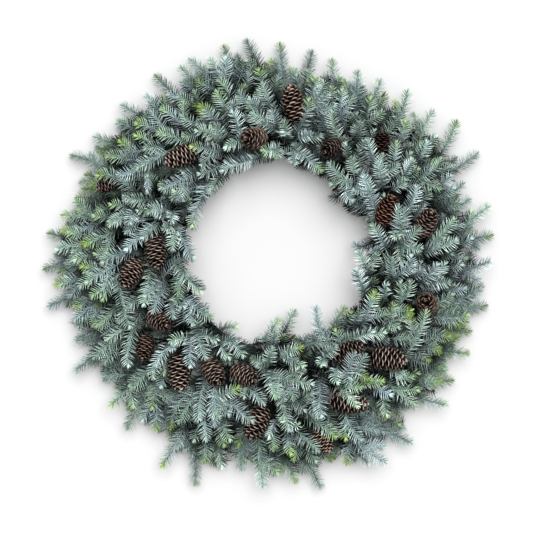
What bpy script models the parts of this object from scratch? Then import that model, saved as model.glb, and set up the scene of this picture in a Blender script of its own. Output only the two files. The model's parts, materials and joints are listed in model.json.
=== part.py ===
"""A frosted pine and pinecone wreath, laid on its back with its face up.

A closed ring of coated wire lies on the surface. Branched sprays of needled twigs stand on it
in three layers, and pine cones sit among them on wire picks of their own. X points right and Y
up across the wreath's face, and Z points up from the surface. The layout is in millimetres and
degrees, round the middle of the wire ring; azimuths run anticlockwise from +X. The finished
meshes are in metres, with the origin under the middle of the whole wreath's outline.
"""

import itertools
import math
from collections import namedtuple

import bmesh
import bpy
import numpy as np
from mathutils import Matrix, Vector

MM = 0.001
SEED = 7

# The wire ring, with a flat facet below to lie on and one above for the stems.
RING_RADIUS = 167.0
RING_WIRE_RADIUS = 3.6
RING_WIRE_SIDES = 6
RING_SEGMENTS = 32
RING_TOP = 2.0 * RING_WIRE_RADIUS * math.cos(math.pi / RING_WIRE_SIDES)
SEAT_GAP = 0.3

# Three-sided stems: how far the corners stand from the centre line.
LEADER_RADIUS = 2.0
SIDE_RADIUS = 1.7
TIP_RADIUS = 1.4
PICK_RADIUS = 1.5
FOOT_LENGTH = 7.0
LEAST_ROOT_PITCH = 3.6

# Needles stand in whorls of six, and each twig ends in one more.
NEEDLE_LENGTH = 16.0
WHORL_BAND = 3.2
WHORL_PITCH = 19.0
NEEDLE_SPREAD = 30.0
NEEDLE_LEANS = (34.0, 55.0)
MOST_LEAN = 62.0
LEAST_NEEDLE_SHARE = 0.6
NEEDLE_TRIES = 9
NEEDLE_CLEARANCE = 0.45
LOWEST_NEEDLE = 1.5

# Where side twigs leave their leader, as shares of its way, by the larger number on one side.
JOINT_SHARES = {
    1: (0.30,),
    2: (0.20, 0.36),
    3: (0.14, 0.26, 0.40),
    4: (0.10, 0.20, 0.31, 0.43),
    5: (0.08, 0.17, 0.26, 0.35, 0.45),
    6: (0.07, 0.15, 0.23, 0.31, 0.39, 0.47),
}
JOINT_BAND = 4.0
JOINT_SIDESTEP = 6.5
JOINT_STEP_UP = 1.5
JOINT_STEP_AHEAD = 5.0

# Tips of the outline: azimuth, reach from the ring's middle, and lean to the left of radial.
OUTER_TIPS = (
    (5, 362, 8), (13, 363, 29), (16, 336, 12), (21, 335, 20), (27, 377, 14), (37, 374, 34),
    (38, 323, 20), (43, 355, 10), (51, 320, 38), (52, 349, 30), (57, 325, 18), (60, 340, 13),
    (64, 317, 20), (67, 334, 23), (71, 314, 16), (75, 340, 15), (81, 348, -2), (90, 356, 3),
    (99, 367, 15), (102, 348, -8), (105, 365, -4), (110, 352, 14), (115, 364, 22),
    (118, 358, 8), (125, 369, 6), (130, 351, -8), (137, 369, 16), (141, 356, 12),
    (148, 373, 11), (155, 392, 16), (158, 356, 8), (162, 352, 18), (166, 354, 14),
    (170, 375, 4), (175, 395, -10), (179, 378, 12), (184, 401, 20), (188, 385, 6),
    (193, 404, 12), (198, 367, 20), (203, 378, 5), (210, 402, 13), (216, 368, 16),
    (222, 386, 2), (229, 395, 16), (232, 368, 24), (236, 366, 33), (241, 413, -4),
    (250, 418, 20), (255, 376, 24), (260, 373, 16), (266, 396, 12), (269, 370, 18),
    (274, 389, 18), (280, 404, 17), (284, 363, 22), (293, 388, 24), (297, 396, 36),
    (305, 392, 31), (318, 382, 34), (324, 364, 44), (332, 362, 19), (338, 350, 24),
    (342, 336, 30), (346, 362, 27), (351, 350, 23), (358, 358, 22),
)
OUTER_HEIGHTS = (19.0, 29.0)

# Twigs that reach over the ring into the hole: azimuth, reach and lean.
FRINGE_TIPS = (
    (9, 125, 112), (18, 152, 122), (50, 126, 104), (66, 160, 72), (84, 158, 84), (101, 164, 70),
    (119, 157, 84), (140, 158, 90), (165, 152, 85), (186, 146, 92), (206, 143, 94),
    (218, 152, 95), (241, 143, 102), (271, 110, 122), (286, 98, 132), (305, 106, 138),
    (321, 145, 74), (347, 129, 122),
)
FRINGE_HEIGHTS = (34.0, 56.0)

# Rows between the hole and the outline: how many tips, their share of the way out, their
# height and how steeply they point up.
Row = namedtuple("Row", "tips share height tilt")
HOLE_REACH = 150.0
MIDDLE_ROWS = (Row(40, 0.79, 42.0, 6.0), Row(32, 0.60, 60.0, 12.0))
INNER_ROWS = (Row(25, 0.41, 76.0, 20.0), Row(15, 0.22, 84.0, 28.0))
ROW_LEAN = 17.0
ROW_LEAN_SCATTER = 13.0
ROW_REACH_SCATTER = 11.0
ROW_HEIGHT_SCATTER = 5.0
ROW_TRIES = 8
SHOWN_LENGTH = 75.0
CONE_BERTH = 30.0

OUTER_SPRAYS = 14
MIDDLE_SPRAYS = 14
INNER_SPRAYS = 10
ROOT_TRAIL = 14.0
# Reach that a tip's place off the middle of its spray costs it, in millimetres a degree, when
# the leader is chosen and when the side twigs are put in order.
LEADER_COST = 4.0
SIDE_COST = 6.0
# A small share of a curve, over which its direction is taken.
STRIDE = 0.02

# Cones: azimuth, reach, heading of the apex, how steeply it points up, length, width, and how
# far the cone is sunk below the foliage round it.
Cone = namedtuple("Cone", "azimuth reach heading tilt length width sunk")
CONES = (
    Cone(85, 252, 103, 12, 68, 43, 0), Cone(103, 196, 183, 55, 56, 42, 0),
    Cone(136, 231, 205, 10, 64, 42, 0), Cone(64, 196, 217, 52, 52, 38, 14),
    Cone(47, 250, 84, 20, 50, 34, 18), Cone(158, 312, 207, 10, 46, 32, 8),
    Cone(22, 193, 68, 28, 60, 40, 4), Cone(12, 250, 63, 42, 58, 42, 0),
    Cone(341, 260, 124, 70, 58, 42, 4), Cone(305, 199, 23, 16, 60, 38, 8),
    Cone(316, 254, 354, 12, 66, 45, 0), Cone(295, 277, 357, 8, 68, 42, 2),
    Cone(283, 323, 300, 12, 50, 34, -4), Cone(262, 288, 244, 18, 66, 45, 2),
    Cone(254, 212, 335, 34, 54, 40, 0), Cone(241, 228, 300, 38, 56, 42, 0),
    Cone(230, 263, 275, 15, 66, 44, 0), Cone(215, 277, 261, 26, 50, 36, 8),
    Cone(209, 231, 327, 42, 52, 38, 2), Cone(188, 252, 243, 24, 58, 42, 0),
    Cone(180, 207, 277, 20, 62, 42, 4),
)
CONE_HEIGHT_AT_RING = 82.0
CONE_FALL = 0.27
CONE_SIDES = 6
# Rings of a cone from base to apex: share of its length, share of its half width.
CONE_PROFILE = ((0.04, 0.52), (0.20, 0.92), (0.40, 1.0), (0.60, 0.86), (0.79, 0.58), (0.94, 0.26))
CONE_CORE_SHARE = 0.76
SCALE_RISE = 0.30
SCALE_LIFT = 0.24
# Balls that bound a cone: share of its length, share of its half width.
CONE_BALLS = ((0.15, 0.80), (0.4, 0.95), (0.65, 0.80), (0.88, 0.48))

BALL_MARGIN = 1.05
NUDGE = np.array([0.0, 0.0, 0.1])

# Ways for a pick to take: turns round the ring, how far it bows out behind the cone, how high,
# and how far to a side. A turn counts against a way, and so does a bend near the ring.
PICK_TURNS = range(-24, 25, 2)
PICK_BOWS = (0.2, 0.35, 0.5)
PICK_RISES = (0.1, 0.35, 0.6, 0.9)
PICK_SWAYS = (-16.0, -8.0, 0.0, 8.0, 16.0)
PICK_TURN_COST = 0.05
PICK_ROOM = 7.0
LEAST_STRETCH = 22.0
PICK_RINGS = (0.0, 0.45, 0.84, 1.0)

COURSE_STEPS = 41
LONGEST_RUN = 68.0
WHORL_BERTH = 8.0
LONG_WHORLS = 3
SHORT_WHORLS = 2
TIP_NEEDLE_SHARE = 0.8
NEEDLE_SCATTER = 6.0

# How far apart the layout keeps stems, needled twigs and cones, and how long it settles.
SAMPLES = np.linspace(0.0, 1.0, 15)
STEM_ROOM = 4.0
TWIG_ROOM = 8.5
TWIG_SHARE_UNDER_CONE = 0.7
BARE_SHARE = 0.25
FORK_ROOM = 22.0
SETTLE_ROUNDS = 240
SETTLE_STEP = 0.35
MOST_PUSH = 6.0
LOWEST_TWIG = 17.0
LOWEST_STEM = 9.0

FOLIAGE_COLOUR = (0.21, 0.29, 0.28)
CONE_COLOUR = (0.12, 0.065, 0.04)
RING_COLOUR = (0.02, 0.045, 0.03)

Tip = namedtuple("Tip", "azimuth reach lean height tilt")
Spray = namedtuple("Spray", "name leader sides whorls")


class Twig:
    """A stem on a quadratic curve, with the node it belongs to and what it grows from."""

    def __init__(self, points, node, parent=None, joint=0.0, whorls=LONG_WHORLS):
        self.points = np.array(points, dtype=float)
        self.node = node
        self.parent = parent
        self.joint = joint
        self.whorls = whorls


def polar(azimuth, reach, height=0.0):
    """The point at an azimuth, a reach from the ring's middle, and a height."""
    angle = math.radians(azimuth)
    return np.array([reach * math.cos(angle), reach * math.sin(angle), height])


def pointing(azimuth, tilt=0.0):
    """The unit vector towards an azimuth, tilted up from the surface."""
    return polar(azimuth, math.cos(math.radians(tilt)), math.sin(math.radians(tilt)))


def turned(angle):
    """An angle in degrees brought to between -180 and 180."""
    return (angle + 180.0) % 360.0 - 180.0


def curve_weights(shares):
    """Weights of a quadratic curve's three points at each share of the way along it."""
    shares = np.asarray(shares, dtype=float)
    return np.stack([(1 - shares) ** 2, 2 * shares * (1 - shares), shares**2], axis=-1)


def outline_reach(azimuth):
    """Reach of the wreath's outline at an azimuth, between the outer tips."""
    azimuths = [tip[0] for tip in OUTER_TIPS]
    reaches = [tip[1] for tip in OUTER_TIPS]
    return np.interp(azimuth % 360.0, azimuths, reaches, period=360.0)


def cone_ends(cone):
    """Base and apex of a cone."""
    height = CONE_HEIGHT_AT_RING - CONE_FALL * (cone.reach - RING_RADIUS) - cone.sunk
    middle = polar(cone.azimuth, cone.reach, height)
    half = pointing(cone.heading, cone.tilt) * cone.length / 2
    return middle - half, middle + half


def flat_distance(start, end, other_start, other_end):
    """Least distance on the wreath's face between two straight pieces, by sampling."""
    shares = np.linspace(0.0, 1.0, 6)[:, None]
    first = (start + (end - start) * shares)[:, None, :2]
    second = (other_start + (other_end - other_start) * shares)[None, :, :2]
    return np.linalg.norm(first - second, axis=2).min()


def berth(tip):
    """How far a twig's shown length stays from the nearest cone, at most CONE_BERTH."""
    end = polar(tip.azimuth, tip.reach)
    start = end - SHOWN_LENGTH * pointing(tip.azimuth + tip.lean)
    nearest = min(flat_distance(start, end, *cone_ends(cone)) for cone in CONES)
    return min(nearest, CONE_BERTH)


def row_tips(row, rng):
    """Tips of a row, each the one of a few draws that keeps clearest of the cones."""
    tips = []
    for index in range(row.tips):
        draws = []
        for _ in range(ROW_TRIES):
            azimuth = (index + rng.uniform(0.0, 0.8)) * 360.0 / row.tips
            reach = HOLE_REACH + row.share * (outline_reach(azimuth) - HOLE_REACH)
            reach += rng.uniform(-1.0, 1.0) * ROW_REACH_SCATTER
            lean = ROW_LEAN + rng.uniform(-1.0, 1.0) * ROW_LEAN_SCATTER
            height = row.height + rng.uniform(-1.0, 1.0) * ROW_HEIGHT_SCATTER
            draws.append(Tip(azimuth, reach, lean, height, row.tilt))
        tips.append(max(draws, key=berth))
    return tips


def listed_tips(table, heights):
    """Tips of a table, at heights that take turns."""
    return [Tip(*entry, heights[index % len(heights)], 0.0) for index, entry in enumerate(table)]


def sprays_of(tips, count, name, whorls):
    """Tips gathered by sector into sprays, each with the longest middle twig as its leader."""
    sprays = []
    sector = 360.0 / count
    for index in range(count):
        middle = (index + 0.5) * sector
        own = [tip for tip in tips if abs(turned(tip.azimuth - middle)) <= sector / 2]
        leader = max(own, key=lambda tip: rank(tip, middle, LEADER_COST))
        sides = [tip for tip in own if tip is not leader]
        sprays.append(Spray(f"{name}_spray_{index + 1:02d}", leader, sides, whorls))
    return sprays


def rank(tip, azimuth, cost):
    """A tip's reach, less what its place off an azimuth costs it."""
    return tip.reach - cost * abs(turned(tip.azimuth - azimuth))


def spread_round(azimuths):
    """Azimuths moved apart round the ring until neighbours keep LEAST_ROOT_PITCH."""
    order = np.argsort(azimuths)
    placed = np.array(azimuths, dtype=float)[order]
    for _ in range(SETTLE_ROUNDS):
        gaps = np.diff(np.append(placed, placed[0] + 360.0))
        short = np.maximum(LEAST_ROOT_PITCH - gaps, 0.0) / 2
        placed += np.roll(short, 1) - short
    spread = np.empty_like(placed)
    spread[order] = placed
    return spread


def curve_to(start, tip):
    """Three points of a curve from a start to a tip that it meets along the tip's lean."""
    end = polar(tip.azimuth, tip.reach, tip.height)
    run = np.linalg.norm(end[:2] - start[:2]) / 2
    return start, end - run * pointing(tip.azimuth + tip.lean, tip.tilt), end


def side_start(leader, joint, side):
    """Where a side twig starts, beside its leader."""
    place = curve_weights(joint) @ leader.points
    ahead = curve_weights(joint + STRIDE) @ leader.points - place
    ahead /= np.linalg.norm(ahead)
    across = np.cross([0.0, 0.0, 1.0], ahead) * side
    across /= np.linalg.norm(across)
    step = across * JOINT_SIDESTEP + ahead * JOINT_STEP_AHEAD
    return place + step + np.array([0.0, 0.0, JOINT_STEP_UP])


def grow_spray(spray, root_azimuth):
    """A spray's twigs: its leader, then the side twigs, the widest from nearest the root."""
    height = RING_TOP + SEAT_GAP + LEADER_RADIUS / 2
    root = polar(root_azimuth, RING_RADIUS, height)
    _, bend, end = curve_to(root, spray.leader)
    root += foot_way(root, bend) * FOOT_LENGTH / 2
    leader = Twig((root, bend, end), spray.name)
    lefts = [tip for tip in spray.sides if left_of(tip, leader)]
    rights = [tip for tip in spray.sides if not left_of(tip, leader)]
    joints = JOINT_SHARES[max(len(lefts), len(rights))]
    twigs = [leader]
    for side, own in ((1, lefts), (-1, rights)):
        own.sort(key=lambda tip: rank(tip, spray.leader.azimuth, SIDE_COST))
        for tip, joint in zip(own, joints[len(joints) - len(own):]):
            start = side_start(leader, joint, side)
            twigs.append(Twig(curve_to(start, tip), spray.name, leader, joint, spray.whorls))
    return twigs


def left_of(tip, leader):
    """Whether a tip lies to the left of its leader, seen from the root."""
    root, _, end = leader.points
    return np.cross(end - root, polar(tip.azimuth, tip.reach) - root)[2] > 0.0


def cone_balls(cone):
    """Balls along a cone that other pieces keep clear of: X, Y, Z and radius."""
    base, apex = cone_ends(cone)
    shares, widths = np.array(CONE_BALLS).T[:, :, None]
    return np.hstack([base + (apex - base) * shares, widths * cone.width / 2])


def ceilings(flat, room):
    """The height below each place on the face that clears the cones above it."""
    balls = np.concatenate([cone_balls(cone) for cone in CONES])
    away = np.linalg.norm(flat[:, None] - balls[None, :, :2], axis=2)
    reach = balls[None, :, 3] + room[:, None] * TWIG_SHARE_UNDER_CONE
    drop = np.sqrt(np.maximum(reach**2 - away**2, 0.0))
    return np.where(away < reach, balls[None, :, 2] - drop, np.inf).min(axis=1)


def settle(twigs):
    """Raise and lower the twigs until they pass over and under each other and below the cones."""
    weights = curve_weights(SAMPLES)
    points = np.array([twig.points for twig in twigs])
    parents = [twigs.index(twig.parent) if twig.parent else None for twig in twigs]
    flat = (weights @ points[:, :, :2]).reshape(-1, 2)
    owner = np.repeat(np.arange(len(twigs)), len(SAMPLES))
    node = np.unique([twig.node for twig in twigs], return_inverse=True)[1][owner]
    share = np.tile(SAMPLES, len(twigs))
    leads = np.array([parent is None for parent in parents])[owner]
    bare = share < BARE_SHARE
    room = np.where(bare, STEM_ROOM, TWIG_ROOM)
    lowest = np.where(bare, LOWEST_STEM, LOWEST_TWIG)
    highest = np.maximum(ceilings(flat, room), lowest)
    apart = np.linalg.norm(flat[:, None] - flat[None], axis=2)
    starts = points[:, 0, :2][owner]
    at_start = np.linalg.norm(flat[None] - starts[:, None], axis=2) < FORK_ROOM
    forks = at_start & at_start.diagonal()[:, None]
    joined = (node[:, None] == node[None]) & (forks | forks.T) & (leads[:, None] | leads[None])
    pairs = (apart < room[:, None] + room[None]) & (owner[:, None] != owner[None]) & ~joined
    first, second = np.nonzero(np.triu(pairs))
    needed = np.sqrt((room[first] + room[second]) ** 2 - apart[first, second] ** 2)
    for _ in range(SETTLE_ROUNDS):
        heights = (weights @ points[:, :, 2:]).reshape(-1)
        gap = heights[first] - heights[second]
        short = np.maximum(needed - np.abs(gap), 0.0) / 2 * np.where(gap < 0, -1.0, 1.0)
        push = np.zeros(len(flat))
        np.add.at(push, first, short)
        np.add.at(push, second, -short)
        push = np.clip(push, -MOST_PUSH, MOST_PUSH)
        push += np.minimum(highest - heights, 0.0) + np.maximum(lowest - heights, 0.0)
        moves = push.reshape(len(twigs), -1) @ weights / (weights**2).sum(axis=0)
        points[:, 1:, 2] += SETTLE_STEP * moves[:, 1:]
        for index, (twig, parent) in enumerate(zip(twigs, parents)):
            if parent is not None:
                points[index, 0, 2] = curve_weights(twig.joint) @ points[parent, :, 2]
                points[index, 0, 2] += JOINT_STEP_UP
    for twig, moved in zip(twigs, points):
        twig.points = moved


def foot_way(root, bend):
    """The level direction in which a stem leaves its seat on the ring."""
    way = (bend - root) * np.array([1.0, 1.0, 0.0])
    return way / np.linalg.norm(way)


def spray_root(spray):
    """The azimuth where a spray would best leave the ring, behind its leader's tip."""
    outer_run = outline_reach(spray.leader.azimuth) - RING_RADIUS
    trail = ROOT_TRAIL * (spray.leader.reach - RING_RADIUS) / outer_run
    return (spray.leader.azimuth - trail) % 360.0


def lay_out():
    """All the wreath's twigs, at rest among each other, spray by spray with the leader first."""
    rng = np.random.default_rng(SEED)
    outer = listed_tips(OUTER_TIPS, OUTER_HEIGHTS)
    middle = [tip for row in MIDDLE_ROWS for tip in row_tips(row, rng)]
    inner = [tip for row in INNER_ROWS for tip in row_tips(row, rng)]
    inner += listed_tips(FRINGE_TIPS, FRINGE_HEIGHTS)
    sprays = sprays_of(outer, OUTER_SPRAYS, "outer", LONG_WHORLS)
    sprays += sprays_of(middle, MIDDLE_SPRAYS, "middle", SHORT_WHORLS)
    sprays += sprays_of(inner, INNER_SPRAYS, "inner", SHORT_WHORLS)
    roots = spread_round([spray_root(spray) for spray in sprays])
    grown = [grow_spray(spray, root) for spray, root in zip(sprays, roots)]
    settle([twig for twigs in grown for twig in twigs])
    return grown


class Course:
    """Places and directions along a curve of three points, by length."""

    def __init__(self, points):
        self.places = curve_weights(np.linspace(0.0, 1.0, COURSE_STEPS)) @ points
        steps = np.linalg.norm(np.diff(self.places, axis=0), axis=1)
        self.lengths = np.append(0.0, np.cumsum(steps))
        self.total = self.lengths[-1]

    def at(self, length):
        """The place at a length from the start."""
        return np.array([np.interp(length, self.lengths, axis) for axis in self.places.T])

    def places_length(self, share):
        """The length at a share of the curve."""
        return float(np.interp(share * (COURSE_STEPS - 1), np.arange(COURSE_STEPS), self.lengths))

    def heading(self, length):
        """The unit direction at a length from the start."""
        ahead = self.at(min(length + 1.0, self.total)) - self.at(max(length - 1.0, 0.0))
        return ahead / np.linalg.norm(ahead)


class Rods:
    """Tapered rods that stand for every solid piece, to keep needles clear of them."""

    def __init__(self):
        self.starts = np.zeros((0, 3))
        self.ends = np.zeros((0, 3))
        self.radii = np.zeros((0, 2))
        self.tags = []

    def add(self, rods):
        """Take in rods, each a start, an end, two radii and a tag."""
        self.starts = np.concatenate([self.starts, [rod[0] for rod in rods]])
        self.ends = np.concatenate([self.ends, [rod[1] for rod in rods]])
        self.radii = np.concatenate([self.radii, [rod[2] for rod in rods]])
        self.tags += [rod[3] for rod in rods]

    def clearance(self, start, end, radii, own_tags, most):
        """Least gap up to `most` between a new rod and the rods whose tags aren't its own."""
        span = np.linalg.norm(end - start) / 2 + max(radii)
        spans = np.linalg.norm(self.ends - self.starts, axis=1) / 2 + self.radii.max(axis=1)
        middles = (self.starts + self.ends) / 2
        away = np.linalg.norm(middles - (start + end) / 2, axis=1) - spans - span
        near = [i for i in np.nonzero(away < most)[0] if self.tags[i] not in own_tags]
        if not near:
            return most
        share, other, apart = closest(start, end, self.starts[near], self.ends[near])
        thick = radii[0] + (radii[1] - radii[0]) * share
        thick += self.radii[near, 0] + (self.radii[near, 1] - self.radii[near, 0]) * other
        return min((apart - thick).min(), most)


def closest(start, end, starts, ends):
    """Where a piece of line comes nearest to others: shares of the way, and the distances."""
    own = end - start
    others = ends - starts
    between = start - starts
    own_square = own @ own
    squares = np.einsum("ij,ij->i", others, others)
    cross = others @ own
    own_lead = between @ own
    lead = np.einsum("ij,ij->i", others, between)
    spread = np.maximum(own_square * squares - cross**2, 1e-9)
    share = np.clip((cross * lead - own_lead * squares) / spread, 0.0, 1.0)
    other = np.clip((cross * share + lead) / squares, 0.0, 1.0)
    share = np.clip((cross * other - own_lead) / own_square, 0.0, 1.0)
    gap = between + own * share[:, None] - others * other[:, None]
    return share, other, np.linalg.norm(gap, axis=1)


def grow_pick(cone, index, rods):
    """Points of a cone's wire pick: of several ways from the ring to its base, the clearest."""
    base, apex = cone_ends(cone)
    azimuth = math.degrees(math.atan2(base[1], base[0]))
    axis = (apex - base) / cone.length
    across = np.array([-axis[1], axis[0], 0.0])
    own = {("ring",), ("cone", index, 0), ("cone", index, 1)}
    seat_radius = cone.width / 2 * CONE_CORE_SHARE * CONE_PROFILE[0][1]
    thickness = [(PICK_RADIUS, PICK_RADIUS)] * (len(PICK_RINGS) - 1) + [(PICK_RADIUS, seat_radius)]
    best, best_gap = None, -np.inf
    for turn, bow, rise, sway in itertools.product(PICK_TURNS, PICK_BOWS, PICK_RISES, PICK_SWAYS):
        root = polar(azimuth + turn, RING_RADIUS, RING_TOP + SEAT_GAP + PICK_RADIUS / 2)
        bend = base - axis * np.linalg.norm(base - root) * bow + across * sway
        bend[2] = LOWEST_STEM + rise * (base[2] - LOWEST_STEM)
        foot = foot_way(root, bend) * FOOT_LENGTH
        points = np.array([root + foot / 2, bend, base])
        gap = np.linalg.norm((bend - root)[:2]) / LEAST_STRETCH * PICK_ROOM
        gap = min(gap, PICK_ROOM) - abs(turn) * PICK_TURN_COST
        corners = [root - foot / 2, *curve_weights(PICK_RINGS) @ points]
        for start, end, radii in zip(corners, corners[1:], thickness):
            if gap > best_gap:
                room = rods.clearance(start, end, radii, own, PICK_ROOM)
                gap = min(gap, room - abs(turn) * PICK_TURN_COST)
        if gap > best_gap:
            best, best_gap = points, gap
    return best


def axes_across(direction):
    """Two unit vectors across a direction: one level, one rising."""
    level = np.cross([0.0, 0.0, 1.0], direction)
    level /= np.linalg.norm(level)
    return level, np.cross(direction, level)


def ring_place(centre, direction, radius, angle):
    """A place on a circle round a direction."""
    level, rising = axes_across(direction)
    return centre + radius * (math.cos(angle) * level + math.sin(angle) * rising)


def first_face(mesh, centre, direction, radius, sides):
    """The face across a stem's start, with a flat side down."""
    turn = 2.0 * math.pi / sides
    places = [
        ring_place(centre, direction, radius, math.pi / 2 + turn * index) for index in range(sides)
    ]
    return mesh.faces.new([mesh.verts.new(place) for place in places])


def grow(mesh, face, centre, direction, radius, twist=0.0, level=False):
    """Extrude an end face to a new ring with the least twist, or with a flat side down."""
    corners = np.array([corner.vert.co for corner in face.loops])
    sides = len(corners)
    arms = corners - corners.mean(axis=0)
    level_axis, rising_axis = axes_across(direction)
    arms = arms @ level_axis + 1j * (arms @ rising_axis)
    turn = 2.0 * math.pi / sides
    steps = turn * np.arange(sides)
    phase = np.angle((arms * np.exp(-1j * steps)).sum()) + twist
    if level:
        phase = math.pi / 2 + turn * round((phase - math.pi / 2) / turn)
    end = bmesh.ops.extrude_discrete_faces(mesh, faces=[face])["faces"][0]
    for corner, step in zip(end.loops, steps):
        corner.vert.co = ring_place(centre, direction, radius, phase + step)
    return end


def walls_of(face):
    """The walls behind an end face, each as its bottom two and top two corners."""
    walls = []
    for corner in face.loops:
        wall = next(other for other in corner.edge.link_faces if other is not face)
        top = (corner.vert, corner.link_loop_next.vert)
        below = [edge.other_vert(vert) for vert in top for edge in vert.link_edges
                 if edge in wall.edges and edge is not corner.edge]
        walls.append((wall, below, top))
    return walls


def cut_walls(face):
    """Split each wall behind an end face in two; returns the halves with their side's sign."""
    halves = []
    for wall, below, top in walls_of(face):
        bmesh.utils.face_split(wall, below[0], top[1])
        for sign, corners in ((1, (*below, top[1])), (-1, (below[0], *reversed(top)))):
            half = next(f for f in corners[0].link_faces if set(f.verts) == set(corners))
            halves.append((half, sign))
    return halves


class Needle:
    """A needle still to be raised from a face, and the tags of what it grows from and beside."""

    def __init__(self, mesh, face, outward, ahead, own):
        self.mesh = mesh
        self.face = face
        self.outward = outward
        self.ahead = ahead
        self.own = own


def face_middle(face):
    """The middle of a face's corners."""
    return np.array([corner.co for corner in face.verts]).mean(axis=0)


def turned_about(vector, axis, degrees):
    """A vector across an axis, turned about it."""
    angle = math.radians(degrees)
    return math.cos(angle) * vector + math.sin(angle) * np.cross(axis, vector)


def wall_direction(face, ahead):
    """The direction a wall faces, square to its stem."""
    face.normal_update()
    outward = np.array(face.normal, dtype=float)
    outward -= (outward @ ahead) * ahead
    return outward / np.linalg.norm(outward)


class Stem:
    """Grows one twig ring by ring and notes its rods."""

    def __init__(self, mesh, face, twig, rods, radius):
        self.mesh = mesh
        self.face = face
        self.index = id(twig)
        self.rods = rods
        self.course = Course(twig.points)
        self.radius = radius
        self.last = face_middle(face)
        self.last_length = 0.0
        self.pieces = 0

    def thickness(self, length):
        """The stem's radius at a length."""
        share = length / self.course.total
        return self.radius + (TIP_RADIUS - self.radius) * share

    def sprout(self, outward):
        """Leave a wall that faces `outward`, turning half way to the curve's own heading."""
        way = outward + self.course.heading(0.0)
        start = self.course.at(0.0)
        self.face = grow(self.mesh, self.face, start, way / np.linalg.norm(way), self.radius)
        self.rods.add([(self.last, start, (self.radius,) * 2, ("stem", self.index, 0))])
        self.last = start

    def reach(self, length, twist=0.0):
        """Grow the stem to a length along its curve, with a bend half way on a long run."""
        if length - self.last_length > LONGEST_RUN:
            self.reach((length + self.last_length) / 2)
        centre = self.course.at(length)
        radius = self.thickness(length)
        ahead = self.course.heading(length)
        self.face = grow(self.mesh, self.face, centre, ahead, radius, twist)
        self.pieces += 1
        self.rods.add([(self.last, centre, (radius, radius), ("stem", self.index, self.pieces))])
        self.last = centre
        self.last_length = length

    def whorls(self, count, first):
        """Grow whorls to the tip, as many as fit past a first length; returns their needles."""
        tip = self.course.total - NEEDLE_LENGTH * TIP_NEEDLE_SHARE
        ends = [tip - WHORL_PITCH * place for place in range(count)]
        ends = [end for end in ends if end - WHORL_BAND > first] or [tip]
        needles = []
        for place, end in enumerate(sorted(ends)):
            self.reach(end - WHORL_BAND, math.radians(NEEDLE_SPREAD))
            self.reach(end)
            ahead = self.course.heading(end)
            own = {("stem", self.index, self.pieces + step) for step in (-1, 0, 1)}
            own.add(("whorl", self.index, place))
            for half, sign in cut_walls(self.face):
                outward = turned_about(wall_direction(half, ahead), ahead, NEEDLE_SPREAD * sign)
                needles.append(Needle(self.mesh, half, outward, ahead, own))
        needles.append(Needle(self.mesh, self.face, None, ahead, own))
        return needles


def cap_start(mesh, corners):
    """Close a stem's start behind its first corners."""
    return mesh.faces.new(list(reversed(corners)))


def spray_mesh(twigs, rods):
    """A spray's stems as one closed mesh, and the needles still to be raised on it."""
    mesh = bmesh.new()
    leader, *sides = twigs
    outward = foot_way(leader.points[0], leader.points[1])
    foot = leader.points[0] - outward * FOOT_LENGTH
    face = first_face(mesh, foot, outward, LEADER_RADIUS, 3)
    corners = list(face.verts)
    face = grow(mesh, face, leader.points[0], outward, LEADER_RADIUS, level=True)
    cap_start(mesh, corners)
    rods.add([(foot, leader.points[0], (LEADER_RADIUS,) * 2, ("foot",))])
    stem = Stem(mesh, face, leader, rods, LEADER_RADIUS)
    beds = []
    for joint in sorted({twig.joint for twig in sides}):
        centre = stem.course.places_length(joint)
        stem.reach(centre - JOINT_BAND / 2)
        stem.reach(centre + JOINT_BAND / 2)
        ahead = stem.course.heading(centre)
        halves = [(half, wall_direction(half, ahead)) for half, _ in cut_walls(stem.face)]
        for twig in sides:
            if twig.joint == joint:
                toward = twig.points[0] - stem.course.at(centre)
                best = max(halves, key=lambda bed: bed[1] @ toward)
                halves.remove(best)
                beds.append((*best, twig))
    needles = stem.whorls(leader.whorls, stem.last_length + WHORL_BERTH)
    for bed, outward, twig in beds:
        side = Stem(mesh, bed, twig, rods, SIDE_RADIUS)
        side.sprout(outward)
        needles += side.whorls(twig.whorls, WHORL_BERTH)
    return mesh, needles


def raise_needles(needles, rods, rng):
    """Raise each needle where it keeps clear of all else: turned aside or shorter if need be."""
    for needle in needles:
        base = face_middle(needle.face)
        radii = (needle_base_radius(needle.face), 0.0)
        whorl = next(tag for tag in needle.own if tag[0] == "whorl")
        for attempt in range(NEEDLE_TRIES):
            way, length = needle_way(needle, attempt, rng)
            tip = base + way * length
            room = rods.clearance(base, tip, radii, needle.own, NEEDLE_CLEARANCE)
            if room == NEEDLE_CLEARANCE and tip[2] > LOWEST_NEEDLE:
                raised = bmesh.ops.poke(needle.mesh, faces=[needle.face])["verts"][0]
                raised.co = tip
                rods.add([(base, tip, radii, whorl)])
                break


def needle_base_radius(face):
    """The radius of a round base that holds a needle's wall half."""
    middle = face_middle(face)
    return max(np.linalg.norm(np.array(corner.co) - middle) for corner in face.verts)


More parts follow.
